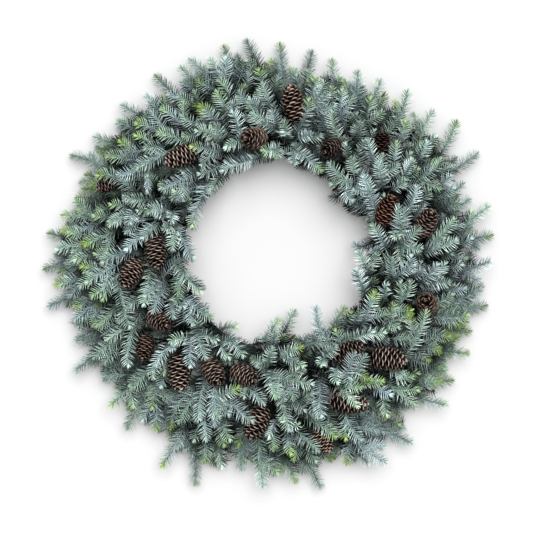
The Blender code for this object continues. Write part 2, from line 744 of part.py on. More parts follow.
def needle_way(needle, attempt, rng):
    """A needle's direction and length at a try: later ones scatter more and are shorter."""
    scatter = NEEDLE_SCATTER * (1.0 + attempt / 2)
    share = 1.0 - (1.0 - LEAST_NEEDLE_SHARE) * attempt / (NEEDLE_TRIES - 1)
    if needle.outward is None:
        level, rising = axes_across(needle.ahead)
        sway = rng.uniform(-1.0, 1.0, 2) * math.radians(scatter)
        way = needle.ahead + sway[0] * level + sway[1] * rising
        return way / np.linalg.norm(way), NEEDLE_LENGTH * TIP_NEEDLE_SHARE * share
    lean = rng.choice(NEEDLE_LEANS) + rng.uniform(-1.0, 1.0) * scatter
    lean = math.radians(min(lean, MOST_LEAN))
    outward = turned_about(needle.outward, needle.ahead, rng.uniform(-1.0, 1.0) * scatter)
    return math.cos(lean) * outward + math.sin(lean) * needle.ahead, NEEDLE_LENGTH * share


def cone_rods(cone, index):
    """Round rods that bound a cone, numbered from its base."""
    return [
        (ball[:3], ball[:3] + NUDGE, (ball[3] * BALL_MARGIN,) * 2, ("cone", index, place))
        for place, ball in enumerate(cone_balls(cone))
    ]


def cone_mesh(cone, pick, rods):
    """A cone with its scales in spirals and its wire pick down to the ring, as one mesh."""
    base, apex = cone_ends(cone)
    axis = (apex - base) / cone.length
    core = cone.width / 2 * CONE_CORE_SHARE
    mesh = bmesh.new()
    places = [(base + axis * cone.length * along, core * wide) for along, wide in CONE_PROFILE]
    face = first_face(mesh, places[0][0], axis, places[0][1], CONE_SIDES)
    corners = list(face.verts)
    walls = []
    for centre, radius in places[1:]:
        face = grow(mesh, face, centre, axis, radius, twist=math.pi / CONE_SIDES)
        walls += [wall for wall, _, _ in walls_of(face)]
    top = bmesh.ops.poke(mesh, faces=[face])["verts"][0]
    top.co = apex
    for wall in walls:
        middle = face_middle(wall)
        rise = wall_direction(wall, axis) * core * SCALE_RISE + axis * core * SCALE_LIFT
        scale = bmesh.ops.poke(mesh, faces=[wall])["verts"][0]
        scale.co = middle + rise
    seat = cap_start(mesh, corners)
    verts = list(seat.verts)
    for start in (0, 2, 4):
        ends = verts[start], verts[(start + 2) % CONE_SIDES]
        seat = next(f for f in verts[0].link_faces if set(ends) <= set(f.verts) and len(f.verts) > 3)
        bmesh.utils.face_split(seat, *ends)
    seat = next(f for f in verts[0].link_faces if set(f.verts) == set(verts[0::2]))
    add_pick(mesh, seat, pick, rods)
    return mesh


def add_pick(mesh, seat, pick, rods):
    """Grow a cone's wire pick from its seat down to the ring's top."""
    start = face_middle(seat)
    for share in PICK_RINGS[-2:0:-1]:
        centre = curve_weights(share) @ pick
        back = curve_weights(share - STRIDE) @ pick - centre
        seat = grow(mesh, seat, centre, back / np.linalg.norm(back), PICK_RADIUS)
        rods.add([(start, centre, (PICK_RADIUS,) * 2, ("pick",))])
        start = centre
    root = pick[0]
    inward = -foot_way(root, pick[1])
    for centre in (root, root + inward * FOOT_LENGTH):
        seat = grow(mesh, seat, centre, inward, PICK_RADIUS, level=True)
        rods.add([(start, centre, (PICK_RADIUS,) * 2, ("pick",))])
        start = centre


def ring_mesh(rods):
    """The wire ring: a six-sided section spun round, lying on a flat facet."""
    mesh = bmesh.new()
    drop = RING_WIRE_RADIUS * math.cos(math.pi / RING_WIRE_SIDES)
    centre = np.array([RING_RADIUS, 0.0, drop])
    section = first_face(mesh, centre, np.array([0.0, 1.0, 0.0]), RING_WIRE_RADIUS, RING_WIRE_SIDES)
    edges = list(section.edges)
    mesh.faces.remove(section)
    bmesh.ops.rotate(mesh, verts=mesh.verts, cent=centre, matrix=Matrix.Rotation(
        math.pi / RING_WIRE_SIDES, 3, "Y"))
    bmesh.ops.spin(mesh, geom=edges, cent=(0.0, 0.0, 0.0), axis=(0.0, 0.0, 1.0),
                   angle=2.0 * math.pi, steps=RING_SEGMENTS, use_merge=True)
    bmesh.ops.recalc_face_normals(mesh, faces=mesh.faces)
    for segment in range(RING_SEGMENTS):
        ends = [polar(360.0 * (segment + step) / RING_SEGMENTS, RING_RADIUS, drop)
                for step in (0, 1)]
        rods.add([(*ends, (RING_WIRE_RADIUS,) * 2, ("ring",))])
    return mesh


def material(name, colour, roughness, metallic=0.0):
    """A plain surface finish."""
    finish = bpy.data.materials.new(name)
    finish.use_nodes = True
    shader = finish.node_tree.nodes["Principled BSDF"]
    shader.inputs["Base Color"].default_value = (*colour, 1.0)
    shader.inputs["Roughness"].default_value = roughness
    shader.inputs["Metallic"].default_value = metallic
    return finish


def add_object(name, mesh, shift, finish):
    """Put a finished mesh in the scene, in metres and moved by `shift`."""
    bmesh.ops.triangulate(mesh, faces=[face for face in mesh.faces if len(face.verts) > 3])
    data = bpy.data.meshes.new(name)
    mesh.to_mesh(data)
    mesh.free()
    data.transform(Matrix.Translation(Vector(shift)) @ Matrix.Scale(MM, 4))
    data.materials.append(finish)
    piece = bpy.data.objects.new(name, data)
    bpy.context.collection.objects.link(piece)
    return piece


def build():
    """Model the whole wreath."""
    for stray in list(bpy.data.objects):
        bpy.data.objects.remove(stray, do_unlink=True)
    foliage = material("frosted needles", FOLIAGE_COLOUR, 0.8)
    brown = material("dry cone scales", CONE_COLOUR, 0.7)
    coated = material("coated wire", RING_COLOUR, 0.45)
    rods = Rods()
    meshes = {"ring_frame": (ring_mesh(rods), coated)}
    needles = []
    for twigs in lay_out():
        mesh, beds = spray_mesh(twigs, rods)
        meshes[twigs[0].node] = (mesh, foliage)
        needles += beds
    for index, cone in enumerate(CONES):
        rods.add(cone_rods(cone, index))
    for index, cone in enumerate(CONES):
        pick = grow_pick(cone, index, rods)
        meshes[f"pinecone_{index + 1:02d}"] = (cone_mesh(cone, pick, rods), brown)
    raise_needles(needles, rods, np.random.default_rng(SEED))
    corners = [corner.co for mesh, _ in meshes.values() for corner in mesh.verts]
    middle = (np.min(corners, axis=0) + np.max(corners, axis=0)) / 2
    shift = (-middle[0] * MM, -middle[1] * MM, 0.0)
    for name, (mesh, finish) in meshes.items():
        add_object(name, mesh, shift, finish)


build()
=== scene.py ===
"""The looks of a frosted pine and pinecone wreath, lying on its back with its face up.

Every spray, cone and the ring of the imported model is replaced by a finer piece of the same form.
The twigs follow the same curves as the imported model's, so their layout is repeated here, in
millimetres and degrees round the middle of the wire ring. Finished meshes are in metres.
"""

import json
import logging
import math
from collections.abc import Iterable
from dataclasses import dataclass, field
from enum import Enum
from typing import Any, ClassVar

import bmesh
import bpy
import numpy as np
from mathutils import Matrix, Vector

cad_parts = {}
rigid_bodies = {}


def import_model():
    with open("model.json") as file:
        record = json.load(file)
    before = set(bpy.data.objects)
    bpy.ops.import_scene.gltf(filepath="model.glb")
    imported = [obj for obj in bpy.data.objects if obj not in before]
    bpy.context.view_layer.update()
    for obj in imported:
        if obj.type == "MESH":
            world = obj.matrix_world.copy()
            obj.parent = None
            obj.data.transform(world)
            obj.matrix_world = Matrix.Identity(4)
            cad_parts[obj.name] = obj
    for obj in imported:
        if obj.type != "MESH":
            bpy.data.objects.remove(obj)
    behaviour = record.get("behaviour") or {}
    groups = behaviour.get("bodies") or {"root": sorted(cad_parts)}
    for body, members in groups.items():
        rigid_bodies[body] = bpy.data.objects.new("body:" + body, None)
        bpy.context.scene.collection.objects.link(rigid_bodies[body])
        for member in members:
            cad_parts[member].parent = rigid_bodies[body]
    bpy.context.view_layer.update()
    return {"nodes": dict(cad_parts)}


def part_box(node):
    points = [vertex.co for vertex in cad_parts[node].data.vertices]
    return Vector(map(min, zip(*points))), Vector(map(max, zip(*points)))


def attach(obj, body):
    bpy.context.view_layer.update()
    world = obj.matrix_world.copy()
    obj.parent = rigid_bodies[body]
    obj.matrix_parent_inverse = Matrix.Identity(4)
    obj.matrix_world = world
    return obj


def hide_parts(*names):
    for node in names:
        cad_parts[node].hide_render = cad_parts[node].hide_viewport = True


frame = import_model()

LOG = logging.getLogger("wreath")
MM = 0.001
UP = np.array([0.0, 0.0, 1.0])
RING_RADIUS = 167.0
# Balls that stand for a cone: how far along it each lies, and its share of the cone's width.
CONE_BALLS = ((0.15, 0.80), (0.4, 0.95), (0.65, 0.80), (0.88, 0.48))
# Height of a cone's middle over the ring, and how much lower it lies for each mm further out.
CONE_HEIGHT, CONE_FALL = 82.0, 0.27


class Slot(Enum):
    """The record's material slots."""

    NEEDLES = "needles"
    CONES = "cone_scales"
    WIRE = "wire"


class Trait(Enum):
    """Values stored on a mesh's points, which the finishes read."""

    ALONG = "along"
    SHADE = "shade"
    FRESH = "fresh"
    TINT = "tint"
    # How far a point is spared painted shade: low values paint it nearly black, as shade under
    # other twigs.
    UNSHADED = "unshaded"
    RIM = "rim"


FOLIAGE_TRAITS = (Trait.ALONG, Trait.SHADE, Trait.FRESH, Trait.TINT, Trait.UNSHADED)
CONE_TRAITS = (Trait.RIM, Trait.SHADE, Trait.TINT)


def polar(azimuth: float, reach: float, height: float = 0.0) -> np.ndarray:
    """The point at an azimuth, a reach from the ring's middle, and a height."""
    angle = math.radians(azimuth)
    return np.array([reach * math.cos(angle), reach * math.sin(angle), height])


def pointing(azimuth: float, tilt: float = 0.0) -> np.ndarray:
    """The unit vector towards an azimuth, tilted up from the surface."""
    return polar(azimuth, math.cos(math.radians(tilt)), math.sin(math.radians(tilt)))


def turned(angle: float) -> float:
    """An angle in degrees brought to between -180 and 180."""
    return (angle + 180.0) % 360.0 - 180.0


def unit(vector: np.ndarray) -> np.ndarray:
    """A vector brought to length one."""
    return vector / np.linalg.norm(vector)


def curve_weights(shares: Any) -> np.ndarray:
    """Weights of a quadratic curve's three points at each share of the way along it."""
    shares = np.asarray(shares, dtype=float)
    return np.stack([(1 - shares) ** 2, 2 * shares * (1 - shares), shares**2], axis=-1)


@dataclass(frozen=True)
class Tip:
    """Where a twig ends: its place, its lean to the left of radial and how steeply it points."""

    azimuth: float
    reach: float
    lean: float
    height: float
    tilt: float


@dataclass(frozen=True)
class Row:
    """A row of twigs: how many, their share of the way out, their height and their tilt."""

    tips: int
    share: float
    height: float
    tilt: float


@dataclass(frozen=True)
class ConePlace:
    """Where a cone lies, how large it is and how red its scales are."""

    azimuth: float
    reach: float
    heading: float
    tilt: float
    length: float
    width: float
    sunk: float
    redness: float = 0.3

    def ends(self) -> tuple[np.ndarray, np.ndarray]:
        """The base and the apex.

        Returns:
            The two places.
        """
        height = CONE_HEIGHT - CONE_FALL * (self.reach - RING_RADIUS) - self.sunk
        middle = polar(self.azimuth, self.reach, height)
        half = pointing(self.heading, self.tilt) * self.length / 2
        return middle - half, middle + half

    def balls(self) -> np.ndarray:
        """Balls along the cone: X, Y, Z and radius.

        Returns:
            A row for each ball.
        """
        base, apex = self.ends()
        shares, widths = np.array(CONE_BALLS).T[:, :, None]
        return np.hstack([base + (apex - base) * shares, widths * self.width / 2])


@dataclass
class Twig:
    """A stem on a quadratic curve, with the spray it belongs to and what it grows from."""

    points: np.ndarray
    spray: str
    parent: "Twig | None" = None
    joint: float = 0.0


@dataclass(frozen=True)
class SprayPlan:
    """A spray's name, its leader's tip and its side twigs' tips."""

    name: str
    leader: Tip
    sides: list[Tip]


CONES = (
    ConePlace(85, 252, 103, 12, 68, 43, 0, 0.5), ConePlace(103, 196, 183, 55, 56, 42, 0),
    ConePlace(136, 231, 205, 10, 64, 42, 0), ConePlace(64, 196, 217, 52, 52, 38, 14, 0.2),
    ConePlace(47, 250, 84, 20, 50, 34, 18, 0.7), ConePlace(158, 312, 207, 10, 46, 32, 8, 0.5),
    ConePlace(22, 193, 68, 28, 60, 40, 4, 1.0), ConePlace(12, 250, 63, 42, 58, 42, 0),
    ConePlace(341, 260, 124, 70, 58, 42, 4, 0.3), ConePlace(305, 199, 23, 16, 60, 38, 8),
    ConePlace(316, 254, 354, 12, 66, 45, 0), ConePlace(295, 277, 357, 8, 68, 42, 2),
    ConePlace(283, 323, 300, 12, 50, 34, -4, 0.6), ConePlace(262, 288, 244, 18, 66, 45, 2),
    ConePlace(254, 212, 335, 34, 54, 40, 0), ConePlace(241, 228, 300, 38, 56, 42, 0),
    ConePlace(230, 263, 275, 15, 66, 44, 0), ConePlace(215, 277, 261, 26, 50, 36, 8, 0.5),
    ConePlace(209, 231, 327, 42, 52, 38, 2), ConePlace(188, 252, 243, 24, 58, 42, 0),
    ConePlace(180, 207, 277, 20, 62, 42, 4),
)

# Tips of the outline: azimuth, reach from the ring's middle, and lean to the left of radial.
OUTER_TIPS = (
    (5, 362, 8), (13, 363, 29), (16, 336, 12), (21, 335, 20), (27, 377, 14), (37, 374, 34),
    (38, 323, 20), (43, 355, 10), (51, 320, 38), (52, 349, 30), (57, 325, 18), (60, 340, 13),
    (64, 317, 20), (67, 334, 23), (71, 314, 16), (75, 340, 15), (81, 348, -2), (90, 356, 3),
    (99, 367, 15), (102, 348, -8), (105, 365, -4), (110, 352, 14), (115, 364, 22),
    (118, 358, 8), (125, 369, 6), (130, 351, -8), (137, 369, 16), (141, 356, 12),
    (148, 373, 11), (155, 392, 16), (158, 356, 8), (162, 352, 18), (166, 354, 14),
    (170, 375, 4), (175, 395, -10), (179, 378, 12), (184, 401, 20), (188, 385, 6),
    (193, 404, 12), (198, 367, 20), (203, 378, 5), (210, 402, 13), (216, 368, 16),
    (222, 386, 2), (229, 395, 16), (232, 368, 24), (236, 366, 33), (241, 413, -4),
    (250, 418, 20), (255, 376, 24), (260, 373, 16), (266, 396, 12), (269, 370, 18),
    (274, 389, 18), (280, 404, 17), (284, 363, 22), (293, 388, 24), (297, 396, 36),
    (305, 392, 31), (318, 382, 34), (324, 364, 44), (332, 362, 19), (338, 350, 24),
    (342, 336, 30), (346, 362, 27), (351, 350, 23), (358, 358, 22),
)

# Twigs that reach over the ring into the hole: azimuth, reach and lean.
FRINGE_TIPS = (
    (9, 125, 112), (18, 152, 122), (50, 126, 104), (66, 160, 72), (84, 158, 84), (101, 164, 70),
    (119, 157, 84), (140, 158, 90), (165, 152, 85), (186, 146, 92), (206, 143, 94),
    (218, 152, 95), (241, 143, 102), (271, 110, 122), (286, 98, 132), (305, 106, 138),
    (321, 145, 74), (347, 129, 122),
)

# Twigs that stand out on the face: X and Y of the tip from the ring's middle, and its heading.
FACE_TIPS = (
    (196, 81, 86), (152, 49, 121), (234, 42, 43), (228, 113, 80), (207, 76, 84), (219, -2, 79),
    (265, -17, 53), (217, -44, 90), (128, 5, 117), (126, -24, 104), (158, -62, 73), (221, -93, 34),
    (243, -93, 80), (177, -132, 0), (108, 184, 107), (145, 191, 103), (138, 130, 111),
    (162, 153, 106), (221, 158, 66), (194, 187, 81), (268, 160, 78), (121, 84, 319), (293, 59, 54),
    (297, 22, 27), (278, -15, 52), (49, 258, 83), (84, 238, 99), (78, 150, 130), (-49, 233, 162),
    (-30, 285, 107), (-69, 271, 118), (3, 221, 126), (-32, 169, 185), (-81, 238, 121),
    (-93, 174, 207), (-99, 135, 202), (69, 133, 310), (-142, 204, 177), (-150, 177, 174),
    (-135, 248, 143), (-108, 271, 130), (-201, 105, 203), (-147, 42, 256), (-180, 49, 266),
    (-231, 24, 219), (-251, 47, 262), (-223, 67, 216), (-241, 142, 205), (-273, 130, 187),
    (-179, 3, 264), (-287, 46, 215), (-142, -10, 304), (-228, -89, 257), (-212, -101, 255),
    (-177, -110, 278), (-325, -49, 213), (-317, -72, 206), (-258, 5, 221), (-128, -67, 317),
    (-111, -110, 328), (-250, -126, 288), (-174, -160, 325), (-253, -191, 277), (-212, -211, 270),
    (-150, -191, 266), (-123, -177, 288), (-83, -177, 302), (-61, -174, 289), (-66, -223, 23),
    (-25, -253, 310), (-44, -282, 320), (-99, -275, 322), (-169, -285, 250), (-123, -315, 279),
    (-83, -315, 293), (-10, -155, 49), (39, -157, 9), (-7, -243, 287), (56, -219, 347),
    (96, -155, 32), (94, -310, 312), (66, -332, 318), (69, -275, 279), (125, -164, 69),
    (174, -214, 0), (130, -258, 310), (223, -204, 30), (138, -315, 314), (32, -282, 94),
    (5, -277, 77), (157, -130, 18), (143, -167, 63), (-308, 130, 190), (170, 166, 84),
    (60, 296, 84), (75, 288, 70), (150, 118, 338),
)

# Where young yellow-green growth shows: X, Y from the ring's middle, and how strongly.
FRESH_PLACES = (
    (211, -96, 1.0), (302, -120, 0.95), (285, -162, 0.8), (157, -74, 0.75), (256, -179, 0.7),
    (158, -214, 0.7), (265, -253, 0.65), (196, 243, 0.65), (-133, 250, 0.65), (-324, 130, 0.65),
    (-243, 207, 0.65), (105, -98, 0.6), (-337, 20, 0.6), (-265, 196, 0.6), (52, 275, 0.55),
    (30, -155, 0.55), (-391, -27, 0.55), (0, -115, 0.5), (248, -157, 0.5), (148, 271, 0.5),
    (312, -172, 0.5), (251, -221, 0.5), (3, -357, 0.45), (206, -277, 0.45), (-310, -78, 0.45),
    (-110, 275, 0.45), (-57, -347, 0.45), (106, -354, 0.45), (-148, 177, 0.4), (292, 219, 0.4),
    (185, 192, 0.4), (-2, 346, 0.4), (-202, -351, 0.4), (-352, 61, 0.4), (-69, -224, 0.4),
)

# Where the foliage is dense: azimuth, and the reach of the hole's edge and of the outline's dips.
DENSE = (
    (0, 126, 331), (8, 147, 330), (16, 146, 317), (24, 143, 332), (32, 131, 338), (40, 120, 322),
    (48, 119, 327), (56, 130, 314), (64, 131, 309), (72, 129, 311), (80, 128, 301), (88, 137, 311),
    (96, 146, 327), (104, 147, 341), (112, 151, 333), (120, 160, 327), (128, 163, 330),
    (136, 166, 341), (144, 161, 350), (152, 153, 355), (160, 153, 351), (168, 160, 354),
    (176, 158, 373), (184, 160, 375), (192, 160, 369), (200, 155, 362), (208, 157, 370),
    (216, 156, 356), (224, 155, 367), (232, 147, 365), (240, 148, 369), (248, 148, 376),
    (256, 130, 369), (264, 114, 367), (272, 111, 371), (280, 125, 364), (288, 140, 367),
    (296, 114, 366), (304, 126, 355), (312, 134, 350), (320, 136, 354), (328, 141, 336),
    (336, 136, 332), (344, 128, 339), (352, 131, 340),
)


@dataclass(frozen=True)
class WreathPlan:
    """The wreath's layout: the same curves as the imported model's twigs.

    Joint shares say how far along its leader each side twig leaves, for each count of them on
    the fuller side. Costs are in millimetres of reach for each degree off the wanted azimuth.
    """

    seed: int = 7
    ring_radius: float = RING_RADIUS
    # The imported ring's wire has six sides, is 7.2 mm across its corners and lies on a side.
    ring_top: float = 7.2 * math.cos(math.pi / 6)
    seat_gap: float = 0.3
    leader_radius: float = 2.0
    foot_length: float = 7.0
    least_root_pitch: float = 3.6
    joint_shares: dict[int, tuple[float, ...]] = field(default_factory=lambda: {
        1: (0.30,),
        2: (0.20, 0.36),
        3: (0.14, 0.26, 0.40),
        4: (0.10, 0.20, 0.31, 0.43),
        5: (0.08, 0.17, 0.26, 0.35, 0.45),
        6: (0.07, 0.15, 0.23, 0.31, 0.39, 0.47),
    })
    joint_sidestep: float = 6.5
    joint_step_up: float = 1.5
    joint_step_ahead: float = 5.0
    stride: float = 0.02
    outer_heights: tuple[float, float] = (19.0, 29.0)
    fringe_heights: tuple[float, float] = (34.0, 56.0)
    middle_rows: tuple[Row, ...] = (Row(40, 0.79, 42.0, 6.0), Row(32, 0.60, 60.0, 12.0))
    inner_rows: tuple[Row, ...] = (Row(25, 0.41, 76.0, 20.0), Row(15, 0.22, 84.0, 28.0))
    spray_counts: dict[str, int] = field(
        default_factory=lambda: {"outer": 14, "middle": 14, "inner": 10})
    hole_reach: float = 150.0
    row_lean: float = 17.0
    row_lean_scatter: float = 13.0
    row_reach_scatter: float = 11.0
    row_height_scatter: float = 5.0
    row_tries: int = 8
    place_scatter: float = 0.8
    shown_length: float = 75.0
    cone_berth: float = 30.0
    berth_samples: int = 6
    root_trail: float = 14.0
    leader_cost: float = 4.0
    side_cost: float = 6.0
    stem_room: float = 4.0
    twig_room: float = 8.5
    twig_share_under_cone: float = 0.7
    bare_share: float = 0.25
    fork_room: float = 22.0
    settle_rounds: int = 240
    settle_step: float = 0.35
    settle_samples: int = 15
    most_push: float = 6.0
    lowest_twig: float = 17.0
    lowest_stem: float = 9.0

    def outline_reach(self, azimuth: float) -> float:
        """Reach of the wreath's outline at an azimuth, between the outer tips.

        Args:
            azimuth: Where round the ring.

        Returns:
            The reach.
        """
        azimuths = [tip[0] for tip in OUTER_TIPS]
        reaches = [tip[1] for tip in OUTER_TIPS]
        return np.interp(azimuth % 360.0, azimuths, reaches, period=360.0)

    def dense_span(self, azimuth: float) -> tuple[float, float]:
        """Reach of the hole's edge and of the outline's dips at an azimuth.

        Args:
            azimuth: Where round the ring.

        Returns:
            The two reaches.
        """
        azimuths, inner, outer = zip(*DENSE)
        return (np.interp(azimuth % 360.0, azimuths, inner, period=360.0),
                np.interp(azimuth % 360.0, azimuths, outer, period=360.0))

    def berth(self, tip: Tip) -> float:
        """How far a twig's shown length stays from the nearest cone, up to a limit.

        Args:
            tip: The twig's tip.

        Returns:
            The least distance over the face.
        """
        end = polar(tip.azimuth, tip.reach)
        start = end - self.shown_length * pointing(tip.azimuth + tip.lean)
        shares = np.linspace(0.0, 1.0, self.berth_samples)[:, None]
        shown = (start + (end - start) * shares)[:, None, :2]
        nearest = self.cone_berth
        for cone in CONES:
            base, apex = cone.ends()
            other = (base + (apex - base) * shares)[None, :, :2]
            nearest = min(nearest, np.linalg.norm(shown - other, axis=2).min())
        return nearest

    def row_tips(self, row: Row, rng: np.random.Generator) -> list[Tip]:
        """Tips of a row, each the one of a few draws that keeps clearest of the cones.

        Args:
            row: The row.
            rng: Where the scatter comes from.

        Returns:
            A tip for each place in the row.
        """
        tips = []
        for index in range(row.tips):
            draws = []
            for _ in range(self.row_tries):
                azimuth = (index + rng.uniform(0.0, self.place_scatter)) * 360.0 / row.tips
                reach = self.hole_reach
                reach += row.share * (self.outline_reach(azimuth) - self.hole_reach)
                reach += rng.uniform(-1.0, 1.0) * self.row_reach_scatter
                lean = self.row_lean + rng.uniform(-1.0, 1.0) * self.row_lean_scatter
                height = row.height + rng.uniform(-1.0, 1.0) * self.row_height_scatter
                draws.append(Tip(azimuth, reach, lean, height, row.tilt))
            tips.append(max(draws, key=self.berth))
        return tips

    def listed_tips(self, table: Iterable[tuple], heights: tuple[float, float]) -> list[Tip]:
        """Tips of a table, at heights that take turns."""
        return [Tip(*entry, heights[index % 2], 0.0) for index, entry in enumerate(table)]

    def rank(self, tip: Tip, azimuth: float, cost: float) -> float:
        """A tip's reach, less what its place off an azimuth costs it."""
        return tip.reach - cost * abs(turned(tip.azimuth - azimuth))

    def sprays_of(self, tips: list[Tip], count: int, layer: str) -> list[SprayPlan]:
        """Tips gathered by sector into sprays, each with the longest middle twig as leader.

        Args:
            tips: The layer's tips.
            count: How many sprays they make.
            layer: The layer's name.

        Returns:
            The sprays, in order round the ring.
        """
        sprays = []
        sector = 360.0 / count
        for index in range(count):
            middle = (index + 0.5) * sector
            own = [tip for tip in tips if abs(turned(tip.azimuth - middle)) <= sector / 2]
            leader = max(own, key=lambda tip: self.rank(tip, middle, self.leader_cost))
            sides = [tip for tip in own if tip is not leader]
            sprays.append(SprayPlan(f"{layer}_spray_{index + 1:02d}", leader, sides))
        return sprays

    def spray_root(self, spray: SprayPlan) -> float:
        """The azimuth where a spray would best leave the ring, behind its leader's tip.

        Args:
            spray: The spray.

        Returns:
            The azimuth, from 0 to 360.
        """
        outer_run = self.outline_reach(spray.leader.azimuth) - self.ring_radius
        trail = self.root_trail * (spray.leader.reach - self.ring_radius) / outer_run
        return (spray.leader.azimuth - trail) % 360.0

    def spread_round(self, azimuths: list[float]) -> np.ndarray:
        """Azimuths moved apart round the ring until neighbours keep their least pitch.

        Args:
            azimuths: The wanted azimuths.

        Returns:
            The azimuths to use, in the same order.
        """
        order = np.argsort(azimuths)
        placed = np.array(azimuths, dtype=float)[order]
        for _ in range(self.settle_rounds):
            gaps = np.diff(np.append(placed, placed[0] + 360.0))
            short = np.maximum(self.least_root_pitch - gaps, 0.0) / 2
            placed += np.roll(short, 1) - short
        spread = np.empty_like(placed)
        spread[order] = placed
        return spread

    def curve_to(self, start: np.ndarray, tip: Tip) -> tuple[np.ndarray, np.ndarray, np.ndarray]:
        """Three points of a curve from a start to a tip that it meets along the tip's lean.

        Args:
            start: The start.
            tip: The tip.

        Returns:
            The start, the bend and the end.
        """
        end = polar(tip.azimuth, tip.reach, tip.height)
        run = np.linalg.norm(end[:2] - start[:2]) / 2
        return start, end - run * pointing(tip.azimuth + tip.lean, tip.tilt), end

    def foot_way(self, root: np.ndarray, bend: np.ndarray) -> np.ndarray:
        """The level direction in which a stem leaves its seat on the ring."""
        return unit((bend - root) * np.array([1.0, 1.0, 0.0]))

    def side_start(self, leader: Twig, joint: float, side: int) -> np.ndarray:
        """Where a side twig starts, beside its leader.

        Args:
            leader: The leader.
            joint: How far along it the joint is, as a share.
            side: 1 for the left, -1 for the right.

        Returns:
            The place.
        """
        place = curve_weights(joint) @ leader.points
        ahead = unit(curve_weights(joint + self.stride) @ leader.points - place)
        across = unit(np.cross(UP, ahead) * side)
        step = across * self.joint_sidestep + ahead * self.joint_step_ahead
        return place + step + UP * self.joint_step_up

    def left_of(self, tip: Tip, leader: Twig) -> bool:
        """Whether a tip lies to the left of its leader, seen from the root."""
        root, _, end = leader.points
        return np.cross(end - root, polar(tip.azimuth, tip.reach) - root)[2] > 0.0

    def grow_spray(self, spray: SprayPlan, root_azimuth: float) -> list[Twig]:
        """A spray's twigs.

        Args:
            spray: The tips that it reaches.
            root_azimuth: Where it stands on the ring.

        Returns:
            Its leader, then its side twigs.
        """
        height = self.ring_top + self.seat_gap + self.leader_radius / 2
        root = polar(root_azimuth, self.ring_radius, height)
        _, bend, end = self.curve_to(root, spray.leader)
        root += self.foot_way(root, bend) * self.foot_length / 2
        leader = Twig(np.array([root, bend, end]), spray.name)
        lefts = [tip for tip in spray.sides if self.left_of(tip, leader)]
        rights = [tip for tip in spray.sides if not self.left_of(tip, leader)]
        joints = self.joint_shares[max(len(lefts), len(rights))]
        twigs = [leader]
        for side, own in ((1, lefts), (-1, rights)):
            own.sort(key=lambda tip: self.rank(tip, spray.leader.azimuth, self.side_cost))
            for tip, joint in zip(own, joints[len(joints) - len(own):]):
                start = self.side_start(leader, joint, side)
                points = np.array(self.curve_to(start, tip))
                twigs.append(Twig(points, spray.name, leader, joint))
        return twigs

    def ceilings(self, flat: np.ndarray, room: np.ndarray) -> np.ndarray:
        """The height below each place on the face that clears the cones above it.

        Args:
            flat: X and Y of each place.
            room: The twig's own half thickness there.

        Returns:
            A height for each place, infinite where no cone is above.
        """
        balls = np.concatenate([cone.balls() for cone in CONES])
        away = np.linalg.norm(flat[:, None] - balls[None, :, :2], axis=2)
        reach = balls[None, :, 3] + room[:, None] * self.twig_share_under_cone
        drop = np.sqrt(np.maximum(reach**2 - away**2, 0.0))
        return np.where(away < reach, balls[None, :, 2] - drop, np.inf).min(axis=1)

    def settle(self, twigs: list[Twig]) -> None:
        """Raise and lower the twigs until they pass over, under and below the cones.

        Args:
            twigs: The twigs, whose points are changed.
        """
        samples = np.linspace(0.0, 1.0, self.settle_samples)
        weights = curve_weights(samples)
        points = np.array([twig.points for twig in twigs])
        places = {id(twig): index for index, twig in enumerate(twigs)}
        parents = [places[id(twig.parent)] if twig.parent else None for twig in twigs]
        flat = (weights @ points[:, :, :2]).reshape(-1, 2)
        owner = np.repeat(np.arange(len(twigs)), len(samples))
        node = np.unique([twig.spray for twig in twigs], return_inverse=True)[1][owner]
        leads = np.array([parent is None for parent in parents])[owner]
        bare = np.tile(samples, len(twigs)) < self.bare_share
        room = np.where(bare, self.stem_room, self.twig_room)
        lowest = np.where(bare, self.lowest_stem, self.lowest_twig)
        highest = np.maximum(self.ceilings(flat, room), lowest)
        apart = np.linalg.norm(flat[:, None] - flat[None], axis=2)
        starts = points[:, 0, :2][owner]
        at_start = np.linalg.norm(flat[None] - starts[:, None], axis=2) < self.fork_room
        forks = at_start & at_start.diagonal()[:, None]
        joined = (node[:, None] == node[None]) & (forks | forks.T)
        joined &= leads[:, None] | leads[None]
        pairs = (apart < room[:, None] + room[None]) & (owner[:, None] != owner[None]) & ~joined
        first, second = np.nonzero(np.triu(pairs))
        needed = np.sqrt((room[first] + room[second]) ** 2 - apart[first, second] ** 2)
        for _ in range(self.settle_rounds):
            heights = (weights @ points[:, :, 2:]).reshape(-1)
            gap = heights[first] - heights[second]
            short = np.maximum(needed - np.abs(gap), 0.0) / 2 * np.where(gap < 0, -1.0, 1.0)
            push = np.zeros(len(flat))
            np.add.at(push, first, short)
            np.add.at(push, second, -short)
            push = np.clip(push, -self.most_push, self.most_push)
            push += np.minimum(highest - heights, 0.0) + np.maximum(lowest - heights, 0.0)
            moves = push.reshape(len(twigs), -1) @ weights / (weights**2).sum(axis=0)
            points[:, 1:, 2] += self.settle_step * moves[:, 1:]
            for index, (twig, parent) in enumerate(zip(twigs, parents)):
                if parent is not None:
                    points[index, 0, 2] = curve_weights(twig.joint) @ points[parent, :, 2]
                    points[index, 0, 2] += self.joint_step_up
        for twig, moved in zip(twigs, points):
            twig.points = moved

